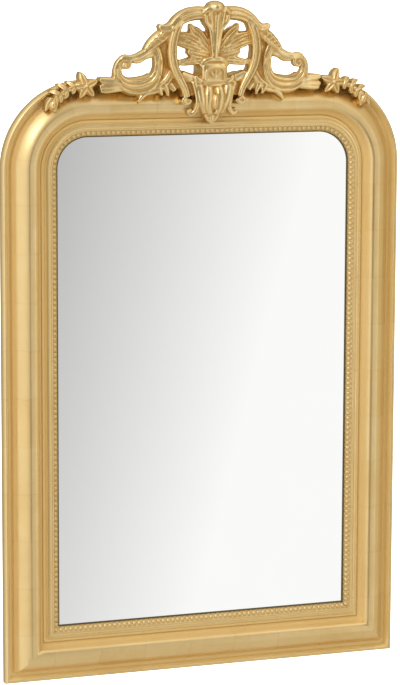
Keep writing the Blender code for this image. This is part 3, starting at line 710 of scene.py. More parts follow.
# %% Bare wood and hardboard for the back
def fibrous(name, fibre, broad, ends, tones, stain, roughness, relief):
    """A board of fine fibres over slower patches: two tones, a stain, roughness and a relief."""
    made, tree, shader = new_material(name)
    place = add_node(tree, "ShaderNodeTexCoord")
    fine = add_node(tree, "ShaderNodeTexNoise", "fibres", **fibre)
    slow = add_node(tree, "ShaderNodeTexNoise", "patches", Detail=3.0, Scale=broad)
    join(tree, (place.outputs["Object"], fine.inputs["Vector"]),
         (place.outputs["Object"], slow.inputs["Vector"]))
    colour = mix_colour(tree, "MIX", spread(tree, fine.outputs["Fac"], *ends, 0.0, 1.0), *tones)
    low, high, share, stain_tone = stain
    colour = mix_colour(tree, "MULTIPLY", spread(tree, slow.outputs["Fac"], low, high, 0.0, share), colour,
                        stain_tone)
    bump = add_node(tree, "ShaderNodeBump", "fibre relief", Strength=relief[0], Distance=relief[1])
    join(tree, (fine.outputs["Fac"], bump.inputs["Height"]),
         (bump.outputs["Normal"], shader.inputs["Normal"]),
         (colour, shader.inputs["Base Color"]),
         (spread(tree, fine.outputs["Fac"], 0.3, 0.7, *roughness), shader.inputs["Roughness"]))
    return made, tree, fine


FIBRES_PER_METRE = (9.0, 260.0, 1.0)
bare_wood, wood_tree, wood_fibres = fibrous(
    "bare_wood", {"Scale": 1.0, "Detail": 5.0, "Roughness": 0.6}, 14.0, (0.3, 0.7),
    ((0.40, 0.26, 0.14, 1.0), (0.24, 0.14, 0.07, 1.0)), (0.35, 0.7, 0.5, (0.62, 0.55, 0.48, 1.0)),
    (0.62, 0.80), (0.4, 0.0006))
rail_map = add_node(wood_tree, "ShaderNodeUVMap", settings={"uv_map": "leaf_map"})
stretch = add_node(wood_tree, "ShaderNodeVectorMath", "fibres along the rail", {"operation": "MULTIPLY"})
stretch.inputs[1].default_value = FIBRES_PER_METRE
join(wood_tree, (rail_map.outputs["UV"], stretch.inputs[0]),
     (stretch.outputs[0], wood_fibres.inputs["Vector"]))
hardboard, *_ = fibrous(
    "hardboard", {"Scale": 420.0, "Detail": 4.0, "Roughness": 0.7}, 7.0, (0.35, 0.68),
    ((0.30, 0.19, 0.105, 1.0), (0.19, 0.115, 0.06, 1.0)), (0.4, 0.7, 0.6, (0.72, 0.66, 0.60, 1.0)),
    (0.66, 0.82), (0.5, 0.0005))
print("back finishes", bare_wood.name, hardboard.name)

# %% [markdown]
# The path and the section go in as two bare lines of points, and the tree gives back the whole moulding.
# Its faces are then turned outward and its open edges counted. A closed piece has none.

# %% Sweep the moulding
stations = outline_stations(0.0)
path_places = [(x, 0.0, z) for x, z, *_ in stations]
path_fields = {"inward": [(dx, 0.0, dz) for x, z, dx, dz, *_ in stations],
               "run": [place[4] for place in stations], "slant": [place[5] for place in stations]}
path_helper = helper_mesh("outline_path", path_places, path_fields)
section_fields = {"reach": section_reach, "hollow": section_hollow, "behind": section_back,
                  "shade": section_shade}
section_helper = helper_mesh("moulding_section", [(u, h, 0.0) for u, h in section], section_fields)
sweep_values = {"Section": section_helper, "Stations": len(stations), "Marks": len(section),
                "Front finish": rail_gilt, "Back finish": bare_wood}
modifier_inputs(path_helper, sweep_tree, sweep_values)
moulding = settle(path_helper, "gilded_moulding")
discard(path_helper, section_helper)


def face_outward(obj):
    """Turns every face of a closed piece outward and counts the edges left open."""
    bm = bmesh.new()
    bm.from_mesh(obj.data)
    bmesh.ops.recalc_face_normals(bm, faces=bm.faces)
    loose = sum(1 for edge in bm.edges if len(edge.link_faces) != 2)
    bm.to_mesh(obj.data)
    bm.free()
    return loose


open_edges = face_outward(moulding)
print("moulding", triangles(moulding), "triangles,", open_edges, "open edges,",
      [round(v, 4) for v in moulding.dimensions], "m")

# %% [markdown]
# A row of small beads leans towards the glass on the sight edge. One bead is a low dome of a few dozen
# faces. Geometry Nodes set it at even steps on a closed path, turned along the path, so the row closes on
# itself and goes round the rounded corners by itself.

# %% One bead and the tree that sets the row
BEAD_COUNT = 308
BEAD_LENGTH = 0.0076
BEAD_WIDTH = 0.0094
BEAD_RISE = 0.0030
BEAD_SIDES = 10
# each ring of a bead: its height and its width as shares of the bead's
BEAD_RINGS = ((-0.30, 1.0), (0.0, 1.0), (0.42, 0.90), (0.76, 0.62))
BEAD_TOP = 0.95
BEAD_SPREAD = 0.06
BEAD_SEED = 7


def bridge_rings(bm, rings):
    """Joins each ring of points to the next with a belt of faces."""
    for near, far in zip(rings, rings[1:]):
        for j in range(len(near)):
            i = (j + 1) % len(near)
            bm.faces.new((near[j], near[i], far[i], far[j]))


def make_bead(inward):
    """A single bead: a dome on a short skirt that leans towards the glass.

    inward is one or minus one, the side of the bead on which the glass lies.
    """
    bm = bmesh.new()
    rings = []
    for height, reach in BEAD_RINGS:
        ring = []
        for k in range(BEAD_SIDES):
            angle = 2 * math.pi * k / BEAD_SIDES
            x = reach * BEAD_LENGTH / 2 * math.cos(angle)
            y = reach * BEAD_WIDTH / 2 * math.sin(angle)
            ring.append(bm.verts.new((x, y, height * BEAD_RISE)))
        rings.append(ring)
    bridge_rings(bm, rings)
    top = bm.verts.new((0.0, 0.0, BEAD_RISE * BEAD_TOP))
    for k in range(BEAD_SIDES):
        bm.faces.new((rings[-1][k], rings[-1][(k + 1) % BEAD_SIDES], top))
    bm.faces.new(list(reversed(rings[0])))
    lean = Matrix.Rotation(math.radians(-inward * BEAD_TILT), 3, "X")
    bmesh.ops.rotate(bm, verts=bm.verts, matrix=lean)
    bmesh.ops.recalc_face_normals(bm, faces=bm.faces)
    return object_from(bm, "bead")


def make_bead_tree():
    """Sets one bead at even steps round a closed path, facing the room."""
    inputs = [("Path", "NodeSocketGeometry", None), ("Bead", "NodeSocketObject", None),
              ("Count", "NodeSocketInt", 10), ("Size spread", "NodeSocketFloat", 0.05),
              ("Seed", "NodeSocketInt", 7), ("Finish", "NodeSocketMaterial", None)]
    tree, start, end = new_group("bead_row", "GeometryNodeTree", inputs, [("Beads", "NodeSocketGeometry")])
    curve = add_node(tree, "GeometryNodeMeshToCurve")
    evenly = add_node(tree, "GeometryNodeResampleCurve", settings={"mode": "COUNT"})
    info = add_node(tree, "GeometryNodeObjectInfo", "bead", {"transform_space": "ORIGINAL"})
    tangent = add_node(tree, "GeometryNodeInputTangent")
    turn = add_node(tree, "FunctionNodeAxesToRotation", settings={"primary_axis": "Z", "secondary_axis": "X"})
    turn.inputs[0].default_value = (0.0, -1.0, 0.0)
    small = add_node(tree, "FunctionNodeRandomValue", "size", {"data_type": "FLOAT"})
    lay = add_node(tree, "GeometryNodeInstanceOnPoints")
    real = add_node(tree, "GeometryNodeRealizeInstances")
    smooth = add_node(tree, "GeometryNodeSetShadeSmooth", settings={"domain": "FACE"})
    gild = add_node(tree, "GeometryNodeSetMaterial")
    join(tree, (start.outputs["Path"], curve.inputs["Mesh"]), (curve.outputs[0], evenly.inputs["Curve"]),
         (start.outputs["Count"], evenly.inputs["Count"]), (start.outputs["Bead"], info.inputs["Object"]),
         (tangent.outputs[0], turn.inputs[1]), (evenly.outputs[0], lay.inputs["Points"]),
         (info.outputs["Geometry"], lay.inputs["Instance"]), (turn.outputs[0], lay.inputs["Rotation"]),
         (number(tree, "SUBTRACT", 1.0, start.outputs["Size spread"]), small.inputs[2]),
         (start.outputs["Seed"], small.inputs["Seed"]), (small.outputs[1], lay.inputs["Scale"]),
         (lay.outputs[0], real.inputs[0]), (real.outputs[0], smooth.inputs["Geometry"]),
         (smooth.outputs[0], gild.inputs["Geometry"]), (start.outputs["Finish"], gild.inputs["Material"]),
         (gild.outputs[0], end.inputs["Beads"]))
    return tree


bead_tree = make_bead_tree()
print("tree", bead_tree.name, "with", len(bead_tree.nodes), "nodes")

# %% [markdown]
# The beads lie on a closed line inside the outline. Stations that fall on one spot are left out, and the
# side on which the glass lies decides which way a bead leans.

# %% Set the row of beads
bead_stations = []
for place in outline_stations(BEAD_PLACE)[:-1]:
    if not bead_stations or math.dist(place[:2], bead_stations[-1][:2]) > BEAD_RADIUS * 0.1:
        bead_stations.append(place)
loop_size = len(bead_stations)
bead_places = [(x, -BEAD_SEAT, z) for x, z, *_ in bead_stations]
bead_path = bpy.data.meshes.new("bead_path")
bead_path.from_pydata(bead_places, [(k, (k + 1) % loop_size) for k in range(loop_size)], [])
bead_holder = placed("bead_path", bead_path)
first, second = bead_stations[0], bead_stations[1]
glass_side = (second[0] - first[0]) * first[3] - (second[1] - first[1]) * first[2]
one_bead = make_bead(1 if glass_side > 0 else -1)
bead_values = {"Bead": one_bead, "Count": BEAD_COUNT, "Size spread": BEAD_SPREAD, "Seed": BEAD_SEED,
               "Finish": bead_gilt}
modifier_inputs(bead_holder, bead_tree, bead_values)
bead_row = settle(bead_holder, "bead_row")
discard(bead_holder, one_bead)
loop_length = sum(math.dist(a, b) for a, b in zip(bead_places, bead_places[1:] + bead_places[:1]))
print(BEAD_COUNT, "beads at", round(loop_length / BEAD_COUNT * 1000, 2), "mm,", triangles(bead_row),
      "triangles")

# %% [markdown]
# The crest is a casting in gilded composition: scrolls, a shell, a fluted plume, a squared boss and a
# pendant apron, all joined, with clear air through the gaps. Drawing it as carving strokes is closest to
# how it was modelled by hand. A stroke is a bar with a rounded, fluted front that follows a few marks. Each
# mark gives its place across and up from the frame's top edge, its width and how far it stands forward.

# %% Carving strokes
CREST_HALF = 0.194
CREST_RISE = 0.127
CREST_DEPTH = 0.066
DRAWN_HALF = 194.0
DRAWN_RISE = 126.0
DRAWN_DEPTH = 58.0
STROKE_FULLNESS = 1.08
CREST_FOOT = 0.0085
CREST_THROAT = 0.0320
CREST_LEAN = 0.0120
FREE_FROM = 0.04
ORNAMENT_SHIFT = 0.0030
CURVE_STEPS = 16
CROWN_POWER = 2.6
BACK_SHARE = 0.94


def smooth_line(points, count):
    """A smooth curve through a few places, with any number of values, at even steps along its length."""
    marks = np.array(points, dtype=float)
    ends = np.vstack([2 * marks[0] - marks[1], marks, 2 * marks[-1] - marks[-2]])
    fine = []
    for a, b, c, d in zip(ends, ends[1:], ends[2:], ends[3:]):
        for t in np.arange(CURVE_STEPS) / CURVE_STEPS:
            fine.append(0.5 * (2 * b + (c - a) * t + (2 * a - 5 * b + 4 * c - d) * t ** 2
                               + (3 * b - 3 * c + d - a) * t ** 3))
    fine.append(marks[-1])
    fine = np.array(fine)
    run = np.concatenate([[0.0], np.cumsum(np.linalg.norm(np.diff(fine[:, :2], axis=0), axis=1))])
    want = np.linspace(0.0, run[-1], count)
    return np.stack([np.interp(want, run, fine[:, k]) for k in range(fine.shape[1])], axis=1)


def stroke(bm, points, back, ridges=1, groove=0.16, places=0, across=0, scales=0.0):
    """One carved stroke along (x, z, width, front) marks, with flutes along it and optional leaf scales."""
    line = smooth_line(points, places or 9 + 8 * len(points))
    along = np.gradient(line[:, :2], axis=0)
    along /= np.maximum(np.linalg.norm(along, axis=1, keepdims=True), 1e-9)
    run = np.concatenate([[0.0], np.cumsum(np.linalg.norm(np.diff(line[:, :2], axis=0), axis=1))])
    steps = across or max(14, 8 * ridges)
    rings = []
    for (x, z, width, front), (tx, tz), distance in zip(line, along, run):
        behind = min(back(z), front - 0.35 * width - 0.001)
        ring = []
        for k in range(steps + 1):
            t = 2.0 * k / steps - 1.0
            crown = math.sqrt(max(0.0, 1.0 - abs(t) ** CROWN_POWER))
            flute = groove * (0.5 - 0.5 * math.cos(math.pi * ridges * (t + 1.0))) if ridges > 1 else groove
            rise = 0.5 * width * (crown * (1.0 + (flute - groove)) - 1.0)
            if scales:
                phase = (distance / scales + 0.55 * abs(t)) % 1.0
                rise += 0.07 * width * (phase - 0.5) * crown
            ring.append((x + tz * t * width / 2, -(front + rise), z - tx * t * width / 2))
        for hand in (1, -1):
            ring.append((x + hand * tz * width / 2 * BACK_SHARE, -behind,
                         z - hand * tx * width / 2 * BACK_SHARE))
        rings.append([bm.verts.new(place) for place in ring])
    bridge_rings(bm, rings)
    bm.faces.new(rings[0])
    bm.faces.new(rings[-1])


def boss(bm, x, z, half_x, half_z, front, back, squared=1.0):
    """A raised boss: oval, or squared where the power is below one."""
    made = bmesh.ops.create_uvsphere(bm, u_segments=48, v_segments=24, radius=1.0)
    for vert in made["verts"]:
        a, b, c = (math.copysign(abs(value) ** squared, value) for value in vert.co)
        vert.co = Vector((x + a * half_x, -back + b * (front - back), z + c * half_z))


def volute(centre, start, radius, turns, side, count=9):
    """Places on a scroll's curl that winds in to its eye, from a start angle in degrees."""
    eye_share = 0.28
    found = []
    for k in range(count):
        share = k / (count - 1)
        angle = math.radians(start) + side * share * turns * 2 * math.pi
        reach = radius * (1.0 - (1.0 - eye_share) * share)
        found.append((centre[0] + reach * math.cos(angle), centre[1] + reach * math.sin(angle)))
    return found


def crest_back(z):
    """The crest's plain back: deep where it lies in the moulding, and leaning forward where it is free."""
    rise = (z - TOP_EDGE) / CREST_RISE
    if rise < FREE_FROM:
        return CREST_FOOT
    return CREST_THROAT + CREST_LEAN * rise


def drawn(side, places):
    """Turns (across, up, width, front) marks of the drawing into metres on one side of the centre line."""
    sx = CREST_HALF / DRAWN_HALF
    sz = CREST_RISE / DRAWN_RISE
    sy = CREST_DEPTH / DRAWN_DEPTH
    wide = STROKE_FULLNESS * 0.5 * (sx + sz)
    return [(side * u * sx, TOP_EDGE + w * sz, b * wide, d * sy) for u, w, b, d in places]


print("drawing scale", round(CREST_HALF / DRAWN_HALF * 1000, 3), "mm a mark")

# %% [markdown]
# Each list below is one stroke of the drawing on the right of the centre line. One unit across or up is
# about a millimetre. The left side is the same drawing mirrored.

# %% The scrolls of one side
def crest_scrolls(bm, side):
    """The shoulder arch, the long S-scroll, the side ring, the foot and the links between them."""
    arms = [
        (3, 0, [(5, 105, 16, 56), (22, 107, 21, 57), (40, 106, 22, 57), (55, 101, 21, 56), (67, 92, 19, 55),
                (76, 82, 16, 54)]),
        (2, 0, [(60, 97, 14, 55), (72, 88, 15, 54), (82, 83, 14, 53), (91, 84, 11, 52), (97, 88, 6, 50)]),
        (2, 0, [(60, 94, 13, 54), (69, 76, 16, 54), (73, 57, 17, 53), (73, 38, 17, 52), (69, 20, 16, 51),
                (60, 2, 15, 50),
                (51, -14, 13, 49), (46, -29, 11, 48)]),
        (2, 1, [(74, 86, 11, 53), (85, 74, 21, 51), (97, 65, 22, 50), (108, 56, 18, 48), (118, 47, 10, 46)]),
        (1, 0, [(82, 62, 12, 43), (87, 46, 13, 40), (87, 26, 13, 39), (83, 8, 13, 39), (74, -6, 13, 39),
                (64, -18, 10, 39)]),
        (1, 0, [(104, 50, 11, 45), (118, 43, 13, 45), (131, 37, 12, 44), (142, 35, 11, 44),
                (152, 36, 11, 43), (158, 33, 10, 42)]),
        (1, 0, [(118, 36, 8, 42), (128, 31, 9, 42), (138, 30, 7, 42)]),
        (3, 0, [(101, 54, 12, 46), (96, 38, 16, 46), (95, 20, 17, 45), (99, 5, 20, 44), (108, -5, 26, 43),
                (123, -11, 30, 42),
                (140, -11, 28, 41), (153, -6, 24, 41), (162, 4, 19, 41), (164, 16, 15, 41),
                (161, 27, 13, 42), (154, 35, 11, 42)]),
        (1, 0, [(100, 46, 11, 44), (109, 41, 12, 44), (119, 37, 9, 43)]),
        (1, 0, [(157, -4, 12, 40), (170, -2, 12, 40), (182, -1, 12, 39), (194, 1, 7, 38)]),
        (1, 0, [(157, -9, 13, 39), (172, -9, 14, 39), (184, -10, 12, 38), (194, -11, 6, 37)]),
        (1, 0, [(155, -13, 11, 38), (170, -14.5, 12, 38), (182, -16, 11, 37), (192, -17, 6, 36)]),
        (2, 0, [(70, 20, 12, 45), (76, 4, 16, 43), (87, -9, 17, 42), (102, -17, 14, 41), (118, -21, 9, 40)]),
        (1, 0, [(110, -18, 10, 40), (119, -25, 9, 39), (125, -32, 6, 38), (127, -37, 3, 37)]),
        (1, 0, [(84, -8, 9, 42), (79, -18, 8, 41), (77, -27, 3, 40)]),
        (1, 0, [(94, -12, 9, 42), (90, -20, 7, 41), (87, -26, 3, 40)]),
    ]
    for ridges, scaly, places in arms:
        stroke(bm, drawn(side, places), crest_back, ridges, 0.2, scales=SCALE_STEP * scaly)
    curls = [((49, -33), 178, 8.0, 0.80, 1, 8, 47), ((151, 25), 80, 9.0, 0.95, 1, 7, 43),
             ((91, 83), 60, 4.5, 0.5, -1, 6, 51)]
    for centre, start, radius, turns, hand, width, front in curls:
        curl = volute(centre, start, radius, turns, hand)
        places = [(u, w, width * (1 - 0.07 * k), front) for k, (u, w) in enumerate(curl)]
        stroke(bm, drawn(side, places), crest_back)
        x, z, size, high = drawn(side, [(*centre, radius, front)])[0]
        boss(bm, x, z, size * 0.62, size * 0.62, high, high - 1.4 * size)


SCALE_STEP = 0.0085
BOSS_FACE = 0.0592
print("scroll scales every", SCALE_STEP * 1000, "mm")

# %% [markdown]
# The middle of the crest is a fan of fluted lobes under a tall plume, and an apron of leaves hangs below.

# %% The shell, the plume and the apron of one side
def crest_shell(bm, side):
    """The broad lobes of the shell, fanned from the middle of the crest, and the web behind them."""
    lobes = [
        [(6, 46, 9, 47), (17, 60, 15, 50), (28, 73, 18, 51), (37, 81, 14, 49), (42, 90, 4, 46)],
        [(8, 44, 9, 47), (26, 58, 16, 50), (42, 67, 17, 51), (56, 71, 13, 48), (66, 72, 8, 46)],
        [(8, 42, 9, 47), (26, 49, 14, 50), (42, 55, 15, 50), (56, 59, 13, 48), (66, 61, 9, 46)],
        [(8, 38, 10, 47), (24, 40, 15, 50), (37, 43, 15, 50), (46, 46, 7, 47)],
        [(8, 34, 10, 47), (24, 31, 14, 49), (40, 29, 13, 49), (54, 27, 10, 47), (62, 28, 8, 46)],
    ]
    for places in lobes:
        stroke(bm, drawn(side, places), crest_back, 3, 0.44)
    web = [[(2, 50, 26, 43), (16, 66, 22, 43), (28, 72, 14, 43)],
           [(4, 40, 26, 43), (22, 44, 26, 43), (36, 46, 16, 43)]]
    for places in web:
        stroke(bm, drawn(side, places), crest_back)


def crest_plume(bm, side):
    """The fluted plume that rises to the rolled top."""
    for foot, head, top, wide in ((2, 4, 113, 6.5), (4.5, 10.5, 110, 7), (6, 18, 104, 7.5)):
        places = [(foot * 0.5, 38, wide * 0.7, 51), (foot * 0.9, 56, wide * 0.8, 54),
                  (foot + 3, 80, wide, 56),
                  (head, top - 10, wide, 59), (head * 1.1, top, wide * 0.8, 61)]
        stroke(bm, drawn(side, places), crest_back)
    places = [(7, 113, 9, 61), (14, 114, 9, 61), (20, 110, 8, 59), (22, 104, 6, 57)]
    stroke(bm, drawn(side, places), crest_back)


def crest_apron(bm, side):
    """The pendant apron: fluted leaves, side scroll, petals, the boss's rim and the arms beside it."""
    arms = [
        [(7, -7, 12, 45), (9, -18, 14, 51), (10, -32, 14, 53), (9, -46, 12, 50), (5, -58, 8, 46)],
        [(22, -3, 13, 45), (25, -13, 15, 50), (23, -27, 14, 51), (19, -41, 12, 49), (14, -56, 8, 44)],
        [(43, 4, 13, 41), (41, -12, 13, 41), (38, -27, 10, 41)],
        [(35, -4, 10, 49), (31, -20, 9, 49), (28, -36, 9, 48), (30, -50, 8, 44), (37, -57, 7, 42),
         (42, -53, 5, 41), (38, -48, 4, 41)],
        [(7, -50, 9, 42), (9, -60, 8, 39), (4, -70, 4, 36)],
        [(24, -1, 13, 46), (42, 2, 16, 47), (56, 8, 14, 47)],
        [(0, 33, 9, 52), (11, 32, 9, 52), (19, 28, 8, 50), (23, 20, 7, 47)],
        [(22, -4, 9, 50), (30, 0, 8, 50), (33, 6, 5, 49)],
    ]
    for places in arms:
        stroke(bm, drawn(side, places), crest_back)


def build_crest():
    """The whole crest as one heap of overlapping strokes."""
    bm = bmesh.new()
    for side in (1, -1):
        crest_scrolls(bm, side)
        crest_shell(bm, side)
        crest_plume(bm, side)
        crest_apron(bm, side)
    middle = [
        [(0, 36, 10, 52), (0, 60, 9, 55), (0, 84, 8, 58), (0, 104, 8, 61)],
        [(0, -8, 9, 45), (0, -22, 10, 47), (0, -36, 10, 47)],
        [(0, -48, 10, 43), (0, -62, 11, 40), (0, -72, 7, 37), (0, -75, 3, 35)],
        [(-20, -6, 8, 48), (0, -9, 8, 49), (20, -6, 8, 48)],
    ]
    for places in middle:
        stroke(bm, drawn(1, places), crest_back)
    arch = [(-15, -1, 2.6, 58.0), (-15, 12, 2.6, 58.0), (-9, 19, 2.6, 58.0), (9, 19, 2.6, 58.0),
            (15, 12, 2.6, 58.0), (15, -1, 2.6, 58.0)]
    stroke(bm, [(x, z, width, BOSS_FACE) for x, z, width, _ in drawn(1, arch)], lambda z: BOSS_FACE - 0.004)
    for angle in (30, 90, 150):
        tip = (9.5 * math.cos(math.radians(angle)), 5 + 9.5 * math.sin(math.radians(angle)))
        places = drawn(1, [(0, 3, 1.6, 0), (tip[0] * 0.6, 3 + (tip[1] - 3) * 0.6, 4.2, 0), (*tip, 1.2, 0)])
        stroke(bm, [(x, z, width, BOSS_FACE) for x, z, width, _ in places], lambda z: BOSS_FACE - 0.004)
    bosses = [(116.6, 16, 11, 66, 46, 1.0), (-36, 6.5, 14, 58, 46, 1.0), (10, 23.5, 17.5, 51, 30, 0.3),
              (10, 26, 22, 43, 24, 0.5)]
    for up, half_x, half_z, front, behind, squared in bosses:
        x, z, wide, high = drawn(1, [(0.0, up, 1.0, front)])[0]
        sx = CREST_HALF / DRAWN_HALF
        sz = CREST_RISE / DRAWN_RISE
        boss(bm, x, z, half_x * sx, half_z * sz, high, behind * CREST_DEPTH / DRAWN_DEPTH, squared)
    return bm


print("crest drawn")

# %% [markdown]
# Each garland is a smaller casting that lies in the moulding: a five-petalled flower, a bent stem with three
# pairs of leaves, and a bud that hangs from its end. Its lengths are shares of a few named sizes.

# %% A flower garland
SPRAY_GAP = 0.0235
SPRAY_PLACE = CREST_HALF + SPRAY_GAP
SPRAY_DROP = 0.0085
SPRAY_DEPTH = 0.047
SPRAY_REACH = 0.053
SPRAY_FALL = 0.0210
STEM_WIDTH = 0.0075
BUTTON_RADIUS = 0.0045
PETAL_LENGTH = 0.0265
PETAL_WIDTH = 0.0150
PETAL_FALL = 0.0080
LEAF_LENGTH = 0.0185
LEAF_WIDTH = 0.0095
BUD_LENGTH = 0.0260
BUD_WIDTH = 0.0170


def spray_back(z):
    """The garlands lie in the moulding, so their back is cut to it."""
    return CREST_FOOT if z < TOP_EDGE else LIP_HEIGHT + GLASS_GAP * 3.0


def leaf(bm, root, angle, length, width, front, fall, cup=0.0):
    """A pointed leaf or petal from its root, its tip falling back towards the frame."""
    turn = math.radians(angle)
    places = []
    for share, wide in ((0.0, 0.35), (0.25, 0.85), (0.5, 1.0), (0.78, 0.72), (1.0, 0.16)):
        bend = cup * length * math.sin(math.pi * share)
        x = root[0] + length * share * math.cos(turn) - bend * math.sin(turn)
        z = root[1] + length * share * math.sin(turn) + bend * math.cos(turn)
        places.append((x, z, width * wide, front - fall * share * share))
    stroke(bm, places, spray_back, 2, 0.38, places=30, across=16)


def build_spray():
    """One garland on the right of the centre line."""
    bm = bmesh.new()
    middle = (SPRAY_PLACE, TOP_EDGE - SPRAY_DROP)
    for angle, stretch in ((68, 0.92), (160, 0.84), (229, 0.84), (296, 0.82), (357, 0.86)):
        leaf(bm, middle, angle, PETAL_LENGTH * stretch, PETAL_WIDTH, SPRAY_DEPTH, PETAL_FALL)
    boss(bm, *middle, BUTTON_RADIUS, BUTTON_RADIUS, SPRAY_DEPTH + BUTTON_RADIUS * 0.45,
         SPRAY_DEPTH - PETAL_FALL)
    stem = [(*middle, STEM_WIDTH, SPRAY_DEPTH - PETAL_FALL * 0.5)]
    knots = []
    for out, fall in ((0.38, 0.14), (0.60, 0.38), (0.81, 0.67), (1.0, 1.0)):
        knots.append((middle[0] + out * SPRAY_REACH, middle[1] - fall * SPRAY_FALL))
    for knot in knots:
        stem.append((*knot, STEM_WIDTH, SPRAY_DEPTH - PETAL_FALL * 0.75))
    stroke(bm, stem, spray_back)
    leaf_front = SPRAY_DEPTH - PETAL_FALL * 0.4
    for knot, upper, lower, grow in ((0, 40, -78, 0.8), (1, 34, -74, 1.0), (2, 16, -92, 1.0)):
        leaf(bm, knots[knot], upper, LEAF_LENGTH * grow, LEAF_WIDTH, leaf_front, PETAL_FALL * 1.1, 0.10)
        leaf(bm, knots[knot], lower, LEAF_LENGTH * grow * 0.72, LEAF_WIDTH, leaf_front, PETAL_FALL * 0.75,
             -0.08)
    x, z = knots[-1]
    bud_front = SPRAY_DEPTH - BUD_WIDTH * 0.12
    boss(bm, x + BUD_WIDTH * 0.12, z - BUD_LENGTH * 0.32, BUD_WIDTH * 0.46, BUD_LENGTH * 0.42, bud_front,
         bud_front - BUD_WIDTH)
    for angle, shift in ((-80, -0.26), (-96, 0.0), (-68, 0.32)):
        root = (x + shift * BUD_WIDTH, z + BUD_LENGTH * 0.12)
        leaf(bm, root, angle, BUD_LENGTH * 0.92, BUD_WIDTH * 0.55, bud_front - BUD_WIDTH * 0.12,
             PETAL_FALL * 0.75)
    return bm


print("garland drawn")

# %% [markdown]
# A heap of strokes becomes one casting in three steps. A fine voxel remesh fuses it, a light smoothing takes
# the steps of the voxels away, and an exact cut takes off whatever would lie inside the moulding, so the
# casting beds on it with a hair's gap. The cutter is the room that the moulding fills, bridged over its
# grooves. It sweeps along the top rail and the two rounded corners with the same stations as the frame.

# %% Fusing and bedding
WELD_GAP = 0.00002
HOLLOW_ROUNDS = 16
HOLLOW_FULL = 0.00045


def seat_marks():
    """The room kept clear of the castings: the moulding's front, bridged over its hollows."""
    gap = GLASS_GAP
    lip_top = LIP_HEIGHT + gap * 1.5
    marks = [(-0.090, -0.010), (-0.090, lip_top), (LIP_WIDTH * 0.75, lip_top)]
    for across, height in band_line(8, 3, 9):
        if across <= SHOULDER_PLACE and height > LIP_HEIGHT:
            marks.append((across - gap, height + gap * 1.8))
        if CROWN_PLACE <= across < BAND_END:
            marks.append((across + gap * 2.0, height + gap * 1.8))
    marks += [(BAND_END - gap * 3.0, STEP_HEIGHT + gap * 6.5),
              (SIGHT_FLAT_START - gap * 3.0, SIGHT_FLAT_HEIGHT + gap * 3.0)]
    marks += [(RAIL_WIDTH, SIGHT_FLAT_HEIGHT + gap * 4.0), (RAIL_WIDTH, -0.010)]
    return marks


def make_seat_cutter():
    """The seat's section carried over the upper part of the outline as a closed solid."""
    upper = [place for place in outline_stations(0.0) if place[1] >= TOP_EDGE - CORNER_RADIUS]
    order = [place for k, place in enumerate(upper) if k == 0 or place[4] - upper[k - 1][4] > 0.0001][::2]
    bm = bmesh.new()
    rings = []
    for x, z, dx, dz, *_ in order:
        rings.append([bm.verts.new((x + u * dx, -h, z + u * dz)) for u, h in seat_marks()])
    bridge_rings(bm, rings)
    bm.faces.new(rings[0])
    bm.faces.new(rings[-1])
    bmesh.ops.recalc_face_normals(bm, faces=bm.faces)
    return object_from(bm, "seat_cutter")


def largest_piece(bm):
    """Keeps only the largest joined piece."""
    bm.verts.ensure_lookup_table()
    seen = np.zeros(len(bm.verts), dtype=bool)
    bm.verts.index_update()
    groups = []
    for vert in bm.verts:
        if seen[vert.index]:
            continue
        group = [vert]
        seen[vert.index] = True
        for member in group:
            for edge in member.link_edges:
                other = edge.other_vert(member)
                if not seen[other.index]:
                    seen[other.index] = True
                    group.append(other)
        groups.append(group)
    groups.sort(key=len)
    bmesh.ops.delete(bm, geom=[vert for group in groups[:-1] for vert in group], context="VERTS")


def cast(bm, name, side, grain, cutter):
    """Fuses a heap of strokes into one smooth casting and beds it on the moulding."""
    for vert in bm.verts:
        vert.co.x = vert.co.x * side + ORNAMENT_SHIFT
        vert.co.y = min(vert.co.y, -CREST_FOOT * 0.5)
    bmesh.ops.recalc_face_normals(bm, faces=bm.faces)
    heap = object_from(bm, name + "_strokes")
    skin = heap.modifiers.new("skin", "REMESH")
    skin.mode = "VOXEL"
    skin.voxel_size = grain
    skin.adaptivity = 0.0
    soft = heap.modifiers.new("soft", "SMOOTH")
    soft.factor = 0.5
    soft.iterations = 3
    fused = settle(heap, name + "_fused")
    discard(heap)
    bed = fused.modifiers.new("bed", "BOOLEAN")
    bed.operation = "DIFFERENCE"
    bed.solver = "EXACT"
    bed.object = cutter
    made = settle(fused, name)
    discard(fused)
    tidy = bmesh.new()
    tidy.from_mesh(made.data)
    largest_piece(tidy)
    bmesh.ops.remove_doubles(tidy, verts=tidy.verts, dist=WELD_GAP)
    bmesh.ops.dissolve_degenerate(tidy, edges=tidy.edges, dist=WELD_GAP)
    bmesh.ops.triangulate(tidy, faces=tidy.faces)
    bmesh.ops.recalc_face_normals(tidy, faces=tidy.faces)
    tidy.to_mesh(made.data)
    tidy.free()
    for face in made.data.polygons:
        face.use_smooth = True
    return made


